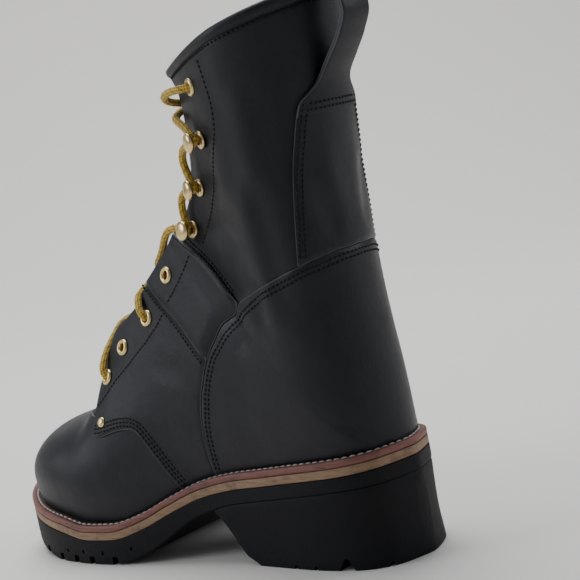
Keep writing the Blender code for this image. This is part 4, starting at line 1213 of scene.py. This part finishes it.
def on_welt(path):
    outer, inner = plan_outline(WELT_STITCH)
    ring = np.concatenate([outer, inner[::-1]])
    spots = np.column_stack([ring, feather_up(ring[:, 1]) - 0.55])
    normals = np.tile((0.0, 0.0, 1.0), (len(spots), 1))
    return spots, normals


build_welt()
stitches("stitches_welt", [None], 0.0, CREAM_THREAD, pitch=4.4, length=4.1, radius=0.8,
         place=on_welt, holes=False)

# Midsole: tan leather layer sewn between welt and rubber. Its edge is trimmed flush with the welt's and
# lightly burnished.
MIDSOLE_EDGE = edge_leather("midsole_leather", (0.20, 0.115, 0.062), (0.32, 0.205, 0.120),
                            (0.085, 0.040, 0.022), 0.55)
slab("midsole_sheet", [(5.9, feather_less(4.3)), (6.3, feather_less(4.5)), (6.5, feather_less(5.0)),
                       (6.5, feather_less(6.5)), (6.45, feather_less(8.6)), (6.1, feather_less(9.0))],
     MIDSOLE_EDGE, ("midsole",))

# Outsole: black rubber glued under the whole boot, with notches along both edges, bars across the
# ball and a smooth curved waist that runs up to the heel.
TREAD_LINE = [
    # along, up
    (-6.0, 44.6), (14.0, 43.5), (56.0, 39.7), (80.0, 37.0), (104.0, 34.0), (122.0, 30.0), (138.0, 24.0),
    (152.0, 16.0), (168.0, 7.0), (182.0, 2.0), (196.0, 0.0), (242.0, 0.0), (256.0, 1.8), (272.0, 5.6),
    (288.0, 10.4), (303.0, 15.6),
]
TREAD_NOTCHES = [
    # along, reach inward, turn in degrees
    (192.9, 15.0, -6.0), (211.3, 16.0, 0.0), (225.7, 16.0, 6.0), (241.0, 15.0, 14.0),
    (257.8, 15.0, 26.0), (277.0, 13.0, 44.0),
]
TREAD_BARS = (186.0, 202.0, 218.5, 233.5)
SIDE_PITS = (179.9, 201.5, 218.0, 233.0)
BOX_FACES = ((0, 1, 2, 3), (4, 5, 6, 7), (0, 1, 5, 4), (1, 2, 6, 5), (2, 3, 7, 6), (3, 0, 4, 7))
NOTCH_WIDTH = 3.8
NOTCH_HEIGHT = 9.4
PIT_LIFT = 7.2
SOLE_CREASE = 30


def tread_up(along):
    return along_table(TREAD_LINE, along)[..., 0]


def rubber_finish():
    stuff = Finish("sole_rubber")
    fine = stuff.noise(700.0, 4.0, 0.6)
    dust = stuff.between(stuff.noise(26.0, 5.0, 0.7), 0.52, 0.75)
    scuff = stuff.between(stuff.noise(90.0, 6.0, 0.75), 0.6, 0.72)
    tone = stuff.mix(fine, (0.0030, 0.0032, 0.0046), (0.0052, 0.0054, 0.0068))
    tone = stuff.mix(dust * 0.3, tone, (0.013, 0.013, 0.014))
    tone = stuff.mix(scuff * 0.3, tone, (0.022, 0.022, 0.022))
    below = stuff.bump(stuff.noise(60.0, 3.0), 0.0004)
    return stuff.finish(Base_Color=tone, Roughness=0.52 + fine * 0.18 + scuff * 0.1,
                        Normal=stuff.bump(fine, 0.00018, below), Specular_IOR_Level=0.2)


SOLE_RUBBER = rubber_finish()


def add_bar(points, faces, centre, half_length, width, height, turn):
    """Upright box bar across the sole, turned about the vertical."""
    start = len(points)
    for level in (-1.0, 1.0):
        for run, cross in ((-1, -1), (1, -1), (1, 1), (-1, 1)):
            side = run * half_length * math.cos(turn) - cross * width / 2 * math.sin(turn)
            along = run * half_length * math.sin(turn) + cross * width / 2 * math.cos(turn)
            points.append((centre[0] + side, centre[1] + along, centre[2] + level * height / 2))
    faces.extend(tuple(start + corner for corner in face) for face in BOX_FACES)


def cut(piece, points, faces):
    """Takes closed tools, with points in world metres, out of a piece."""
    mesh = bpy.data.meshes.new("cutter")
    mesh.from_pydata(np.asarray(points, float).tolist(), [], faces)
    outward(mesh)
    tool = bpy.data.objects.new("cutter", mesh)
    bpy.context.scene.collection.objects.link(tool)
    step = piece.modifiers.new("cut", "BOOLEAN")
    step.object = tool
    step.operation = "DIFFERENCE"
    step.solver = "EXACT"
    bpy.context.view_layer.update()
    ready = piece.evaluated_get(bpy.context.evaluated_depsgraph_get())
    result = bpy.data.meshes.new_from_object(ready)
    piece.modifiers.clear()
    piece.data = result
    bpy.data.objects.remove(tool, do_unlink=True)


def build_outsole():
    piece = slab("outsole_rubber", [
        (6.1, feather_less(9.3)), (6.5, feather_less(9.7)), (6.5, lambda a: tread_up(a) + 3.0),
        (6.4, lambda a: tread_up(a) + 0.7), (5.9, tread_up)], SOLE_RUBBER, ("outsole",))
    points, faces = [], []
    outer, inner = plan_outline(WELT_REACH)
    for line, sign in ((outer, 1.0), (inner, -1.0)):
        order = np.argsort(line[:, 1])
        for along, reach, turn in TREAD_NOTCHES:
            side = np.interp(along, line[order, 1], line[order, 0])
            add_bar(points, faces, (side, along, tread_up(along)), reach, NOTCH_WIDTH, NOTCH_HEIGHT,
                    math.radians(turn) * sign)
        for along in SIDE_PITS:
            side = np.interp(along, line[order, 1], line[order, 0])
            add_bar(points, faces, (side, along, tread_up(along) + PIT_LIFT), 0.7, 1.7, 2.2, 0.0)
    for along in TREAD_BARS:
        add_bar(points, faces, (-3.0, along, tread_up(along)), 19.0, 3.0, 7.0, 0.0)
    cut(piece, world(points), faces)
    crease(piece, SOLE_CREASE)


build_outsole()

# Heel: moulded block of the same rubber with waisted sides, a slanting breast and four grooves across
# its floor, the third one wide and deep.
HEEL_LEVELS = [
    # share of the height, waist inset, breast along, back inset
    (0.0, 0.8, 92.2, 0.5), (0.02, 0.4, 92.6, 0.1), (0.14, 0.7, 100.5, 0.7), (0.45, 1.2, 108.0, 2.0),
    (0.8, 0.7, 114.5, 1.2), (0.97, 0.3, 118.2, 0.3), (1.0, 0.7, 118.5, 0.6),
]
HEEL_GROOVES = [
    # along, width, depth, lean of the walls
    (66.0, 3.2, 2.2, 1.0), (52.0, 3.0, 2.2, 1.0), (32.8, 10.4, 6.3, 4.0), (11.5, 3.2, 2.2, 1.0),
]
GROOVE_REACH = 60.0
HEEL_COLUMNS = 44
HEEL_SHARES = (0.0, 0.02, 0.06, 0.14, 0.24, 0.34, 0.45, 0.56, 0.68, 0.8, 0.9, 0.97, 1.0)


def build_heel():
    points, faces = [], []
    for share in HEEL_SHARES:
        inset, breast, back = along_table(HEEL_LEVELS, share)
        for line in plan_outline(WELT_REACH - inset):
            order = np.argsort(line[:, 1])
            along_back = line[order[0], 1] + max(back - inset, 0.0)
            spread = 1 - np.cos(np.linspace(0, 1, HEEL_COLUMNS) ** 0.8 * math.pi / 2)
            places = (breast + (along_back - breast) * (1 - spread[::-1]))[::-1]
            for along in places:
                side = np.interp(along, line[order, 1], line[order, 0])
                points.append((side, along, (tread_up(along) - GAP) * share))
    width = 2 * HEEL_COLUMNS
    for level in range(len(HEEL_SHARES) - 1):
        base = level * width
        for number in range(HEEL_COLUMNS - 1):
            for shift in (0, HEEL_COLUMNS):
                low = base + shift + number
                faces.append((low, low + 1, low + 1 + width, low + width))
        for number in (0, HEEL_COLUMNS - 1):
            across = base + HEEL_COLUMNS + number
            faces.append((base + number, across, across + width, base + width + number))
    for base in (0, (len(HEEL_SHARES) - 1) * width):
        for number in range(HEEL_COLUMNS - 1):
            faces.append((base + number, base + number + 1, base + HEEL_COLUMNS + number + 1,
                          base + HEEL_COLUMNS + number))
    piece = new_piece("heel_block", world(points), faces, SOLE_RUBBER, ("heel",), WELD)
    points, faces = [], []
    for along, width, depth, lean in HEEL_GROOVES:
        start = len(points)
        for side in (-GROOVE_REACH, GROOVE_REACH):
            points.extend(((side, along - width / 2, -1.0), (side, along + width / 2, -1.0),
                           (side, along + width / 2 - lean, depth), (side, along - width / 2 + lean, depth)))
        faces.extend(tuple(start + corner for corner in face) for face in BOX_FACES)
    cut(piece, world(points), faces)
    crease(piece, SOLE_CREASE)


build_heel()

# Eyelets: five rolled brass rings along each side of the throat. Each is set through a hole punched in
# all layers of the leather.
EYELETS = [
    # name, section, around, lift of the leather under it
    ("1", 8.59, 0.366, 1.9), ("2", 9.76, 0.339, 1.9), ("3", 11.40, 0.316, 1.9),
    ("4", 13.47, 0.260, 3.2), ("5", 25.58, 0.427, 0.0),
]
EYELET_SIDES = 28
EYELET_HOLE = 3.1
HARDWARE_LIFT = 0.35


def frame_at(section, around, lift):
    """Matrix at a place on the skin: Z outward, X toward the throat."""
    spot = world(skin(section, around, lift))
    normal = skin_normal(section, around)
    up = Vector((normal[0], -normal[1], normal[2])).normalized()
    nearer = world(bare_skin(section, around * 0.95)) - world(bare_skin(section, around))
    forward = Vector(nearer)
    forward = (forward - up * forward.dot(up)).normalized()
    cross = up.cross(forward)
    return Matrix(((forward.x, cross.x, up.x, spot[0]), (forward.y, cross.y, up.y, spot[1]),
                   (forward.z, cross.z, up.z, spot[2]), (0, 0, 0, 1)))


def turned(profile, sides, place, points, faces, shift=0.0):
    """Adds a closed profile of radius and height in millimetres, turned about the place's shifted axis."""
    start = len(points)
    for radius, height in profile:
        for number in range(sides):
            angle = 2 * math.pi * number / sides
            spot = (shift + radius * math.cos(angle), radius * math.sin(angle), height)
            points.append(tuple(place @ (Vector(spot) * 0.001)))
    tube(faces, start, len(profile), sides, closed=True)


def brass_finish():
    stuff = Finish("pale_brass")
    smear = stuff.noise(180.0, 4.0, 0.6)
    fine = stuff.noise(1500.0, 3.0)
    tone = stuff.mix(smear, (0.70, 0.50, 0.20), (0.82, 0.66, 0.35))
    tone = stuff.mix(stuff.between(smear, 0.58, 0.75) * 0.5, tone, (0.42, 0.29, 0.12))
    return stuff.finish(Base_Color=tone, Roughness=0.2 + smear * 0.2, Metallic=1.0,
                        Normal=stuff.bump(fine + smear, 0.00006))


BRASS = brass_finish()


def build_eyelets():
    tools = {"outer": ([], []), "inner": ([], [])}
    for side, sign in SIDES:
        for name, section, around, lift in EYELETS:
            place = frame_at(section, around * sign, lift + HARDWARE_LIFT)
            deep = -lift - WALL - HARDWARE_LIFT - 0.3
            profile = [
                (2.3, deep), (2.3, 0.1), (2.45, 0.6), (2.8, 1.0), (3.3, 1.2), (3.9, 1.12), (4.4, 0.8),
                (4.75, 0.35), (4.8, -0.1), (4.55, -0.3), (2.8, -0.3), (2.75, deep),
            ]
            points, faces = [], []
            turned(profile, EYELET_SIDES, place, points, faces)
            piece = new_piece(f"eyelet_ring_{side}_{name}", points, faces, BRASS,
                              (f"eyelet_{side}_{name}",), WELD)
            crease(piece, 40)
            points, faces = tools[side]
            turned([(0.001, deep - 3), (EYELET_HOLE, deep - 3), (EYELET_HOLE, 3.0), (0.001, 3.0)], 16,
                   place, points, faces)
    return tools


eyelet_tools = build_eyelets()
for side, sign in SIDES:
    for leather in ("upper_shaft", f"quarter_panel_{side}", f"ankle_strap_{side}"):
        cut(bpy.data.objects[leather], *eyelet_tools[side])

# Hooks: three on each side. Each is a riveted brass base with a hollow middle, a bent strip toward the
# throat and a round button that holds the lace down.
HOOKS = [
    # name, section, around
    ("1", 17.63, 0.266), ("2", 20.79, 0.322), ("3", 23.46, 0.426),
]
HOOK_STRIP = [
    # toward the throat, up
    (3.4, 0.7), (4.8, 0.9), (5.8, 1.8), (6.2, 3.2), (5.8, 4.7), (4.4, 5.7), (2.2, 6.1),
]
HOOK_STRIP_HALF = (2.3, 2.3, 2.0, 1.8, 1.8, 2.0, 2.2)
HOOK_STRIP_THICKNESS = 1.1
HOOK_BUTTON_OFFSET = -0.2
HOOK_SIDES = 30


def build_hooks():
    for side, sign in SIDES:
        for name, section, around in HOOKS:
            place = frame_at(section, around * sign, HARDWARE_LIFT)
            points, faces = [], []
            turned([(1.9, -0.2), (1.9, 1.0), (2.2, 1.45), (2.8, 1.6), (3.4, 1.35), (4.2, 1.2), (4.7, 0.9),
                    (4.9, 0.4), (4.9, 0.0), (4.6, -0.2)], HOOK_SIDES, place, points, faces)
            turned([(0.001, 5.6), (3.4, 5.6), (4.7, 5.8), (5.3, 6.3), (5.5, 6.9), (5.3, 7.6), (4.6, 8.2),
                    (3.3, 8.65), (1.7, 8.9), (0.001, 8.95)], HOOK_SIDES, place, points, faces,
                   shift=HOOK_BUTTON_OFFSET)
            start = len(points)
            line = np.array(HOOK_STRIP)
            tangent = np.gradient(line, axis=0)
            tangent /= np.linalg.norm(tangent, axis=1, keepdims=True)
            for spot, ahead, half in zip(line, tangent, HOOK_STRIP_HALF):
                across = np.array((-ahead[1], ahead[0])) * HOOK_STRIP_THICKNESS / 2
                for wide, sign_across in ((-half, -1), (half, -1), (half, 1), (-half, 1)):
                    corner = spot + across * sign_across
                    points.append(tuple(place @ (Vector((corner[0], wide, corner[1])) * 0.001)))
            tube(faces, start, len(line), 4)
            end_caps(faces, start, len(line), 4)
            piece = new_piece(f"hook_{side}_{name}_bent", points, faces, BRASS,
                              (f"hook_{side}_{name}",), WELD)
            crease(piece, 45)


build_hooks()

# Rivets: domed brass caps, one at the front corner of each quarter. They are set through quarter and
# vamp and hold the corner down.
RIVET = (7.93, 0.492)
RIVET_RADIUS = 2.9
RIVET_SIDES = 24
for side, sign in SIDES:
    place = frame_at(RIVET[0], RIVET[1] * sign, GAP + OVERLAY + 0.1)
    rivet_points, rivet_faces = [], []
    turned([(0.001, 0.0), (RIVET_RADIUS * 0.92, 0.0), (RIVET_RADIUS, 0.25), (RIVET_RADIUS * 0.9, 0.75),
            (RIVET_RADIUS * 0.6, 1.15), (RIVET_RADIUS * 0.3, 1.3), (0.001, 1.34)], RIVET_SIDES, place,
           rivet_points, rivet_faces)
    rivet = new_piece(f"rivet_cap_{side}", rivet_points, rivet_faces, BRASS,
                      (f"rivet_{side}",), WELD)
    crease(rivet, 50)

# Lace: one round braided cord of gold yarn with a brown tracer, 4.2 mm thick. It runs from a bar under
# the lowest eyelets through the third ones, round the hooks, and ends inside the top eyelets.
CORD_RADIUS = 2.1
CORD_SIDES = 14
CORD_STEP = 0.8
CORD_ROUTE = [
    # section, around on the cord's own side, lift
    (8.55, 0.0, -1.5), (8.57, 0.2, -3.5), (8.59, 0.34, -5.5), (8.59, 0.366, -3.0), (8.59, 0.366, 1.5),
    (8.61, 0.356, 4.4), (8.68, 0.322, 5.0), (8.76, 0.26, 3.0), (8.86, 0.18, 0.4), (9.15, 0.05, -0.8),
    (9.7, -0.14, -1.5), (10.5, -0.26, -4.5), (11.2, -0.31, -5.0), (11.40, -0.316, 1.0),
    (11.40, -0.306, 4.6), (11.42, -0.255, 5.0), (11.46, -0.19, 3.0), (11.6, -0.08, -0.7), (12.3, 0.04, -0.8),
    (13.4, 0.10, -0.2), (14.4, 0.13, 2.6), (15.3, 0.15, 4.4), (16.2, 0.168, 4.8),
    (16.95, 0.21, 3.4), (17.3, 0.25, 3.5), (17.65, 0.262, 3.5), (17.95, 0.252, 3.5), (18.3, 0.22, 3.7),
    (19.1, 0.20, 4.4), (19.9, 0.225, 4.4), (20.35, 0.272, 3.7), (20.6, 0.305, 3.5), (20.8, 0.317, 3.5),
    (21.0, 0.305, 3.5), (21.3, 0.27, 3.9), (21.9, 0.245, 4.6), (22.6, 0.28, 4.4), (23.1, 0.36, 3.7),
    (23.3, 0.408, 3.5), (23.47, 0.42, 3.5), (23.65, 0.408, 3.5), (23.9, 0.36, 3.7), (24.05, 0.30, 4.4),
    (24.2, 0.2, 3.4), (24.6, 0.0, -0.4), (24.95, -0.16, -1.4), (25.1, -0.21, 3.0), (25.4, -0.255, 8.0),
    (25.62, -0.32, 8.4), (25.62, -0.395, 6.6), (25.58, -0.427, 2.0), (25.58, -0.427, -4.0),
]
# The two halves of the cord: piece, side of its lowest eyelet, lift where it crosses the other
CORD_HALVES = (("lace_cord_first", 1, 2.6), ("lace_cord_second", -1, -1.2))
CROSSING_WIDTH = 0.12
CORD_BAR_END = 9.0


def cord_finish():
    stuff = Finish("braided_cord")
    place = stuff.node("ShaderNodeTexCoord", output="UV")
    run = stuff.node("ShaderNodeSeparateXYZ", output="X", Vector=place)
    turn = stuff.node("ShaderNodeSeparateXYZ", output="Y", Vector=place)
    left = (turn * (4 * 2 * math.pi) + run * 2.6).sine()
    right = (turn * (4 * 2 * math.pi) - run * 2.6).sine()
    lump = left * right
    tracer = (turn * (2 * 2 * math.pi) + run * 1.3).sine()
    yarn = stuff.noise(1800.0, 3.0)
    # Painted shade: the braid's hollows, where the raised pattern is low, are painted dark brown and its
    # crowns bright gold.
    tone = stuff.mix(stuff.between(lump, -0.5, 0.45), (0.30, 0.155, 0.010), (0.84, 0.58, 0.045))
    tone = stuff.mix(stuff.between(tracer, 0.55, 0.85) * 0.7, tone, (0.19, 0.075, 0.010))
    tone = stuff.mix(yarn * 0.3, tone, (0.80, 0.56, 0.09))
    height = stuff.between(lump, -0.8, 0.8) * 0.8 + yarn * 0.2
    return stuff.finish(Base_Color=tone, Roughness=0.62 + yarn * 0.2, Normal=stuff.bump(height, 0.0006),
                        Sheen_Weight=0.15)


CORD_STUFF = cord_finish()


def build_cord(name, sign, extra):
    """Half of the lace, from the lowest bar to its top eyelet."""
    route = np.array(CORD_ROUTE)
    middle = np.exp(-(route[:, 1] / CROSSING_WIDTH) ** 2)
    middle = np.where(route[:, 0] > CORD_BAR_END, middle, 0.0)
    spots = skin(route[:, 0], route[:, 1] * sign, route[:, 2] + extra * middle)
    spots = rounded(spots, 4)
    travel = travelled(spots)
    even = np.linspace(0, travel[-1], int(travel[-1] / CORD_STEP))
    line = read_along(even, travel, spots)
    tangent = np.gradient(line, axis=0)
    tangent /= np.linalg.norm(tangent, axis=1, keepdims=True)
    points, faces = [], []
    side = np.cross(tangent[0], (0.0, 0.0, 1.0))
    for spot, ahead in zip(line, tangent):
        side = side - ahead * np.dot(side, ahead)
        side = side / np.linalg.norm(side)
        cross = np.cross(ahead, side)
        for number in range(CORD_SIDES):
            angle = 2 * math.pi * number / CORD_SIDES
            points.append(spot + (side * math.cos(angle) + cross * math.sin(angle)) * CORD_RADIUS)
    tube(faces, 0, len(line), CORD_SIDES)
    end_caps(faces, 0, len(line), CORD_SIDES)
    piece = new_piece(name, world(points), faces, CORD_STUFF, ("lace",))
    layer = piece.data.uv_layers.new(name="braid")
    for face in piece.data.polygons:
        numbers = [index % CORD_SIDES for index in face.vertices]
        wraps = 0 in numbers and CORD_SIDES - 1 in numbers
        for loop, index, number in zip(face.loop_indices, face.vertices, numbers):
            number = CORD_SIDES if wraps and number == 0 else number
            layer.data[loop].uv = (even[index // CORD_SIDES], number / CORD_SIDES)


for name, sign, lift in CORD_HALVES:
    build_cord(name, sign, lift)
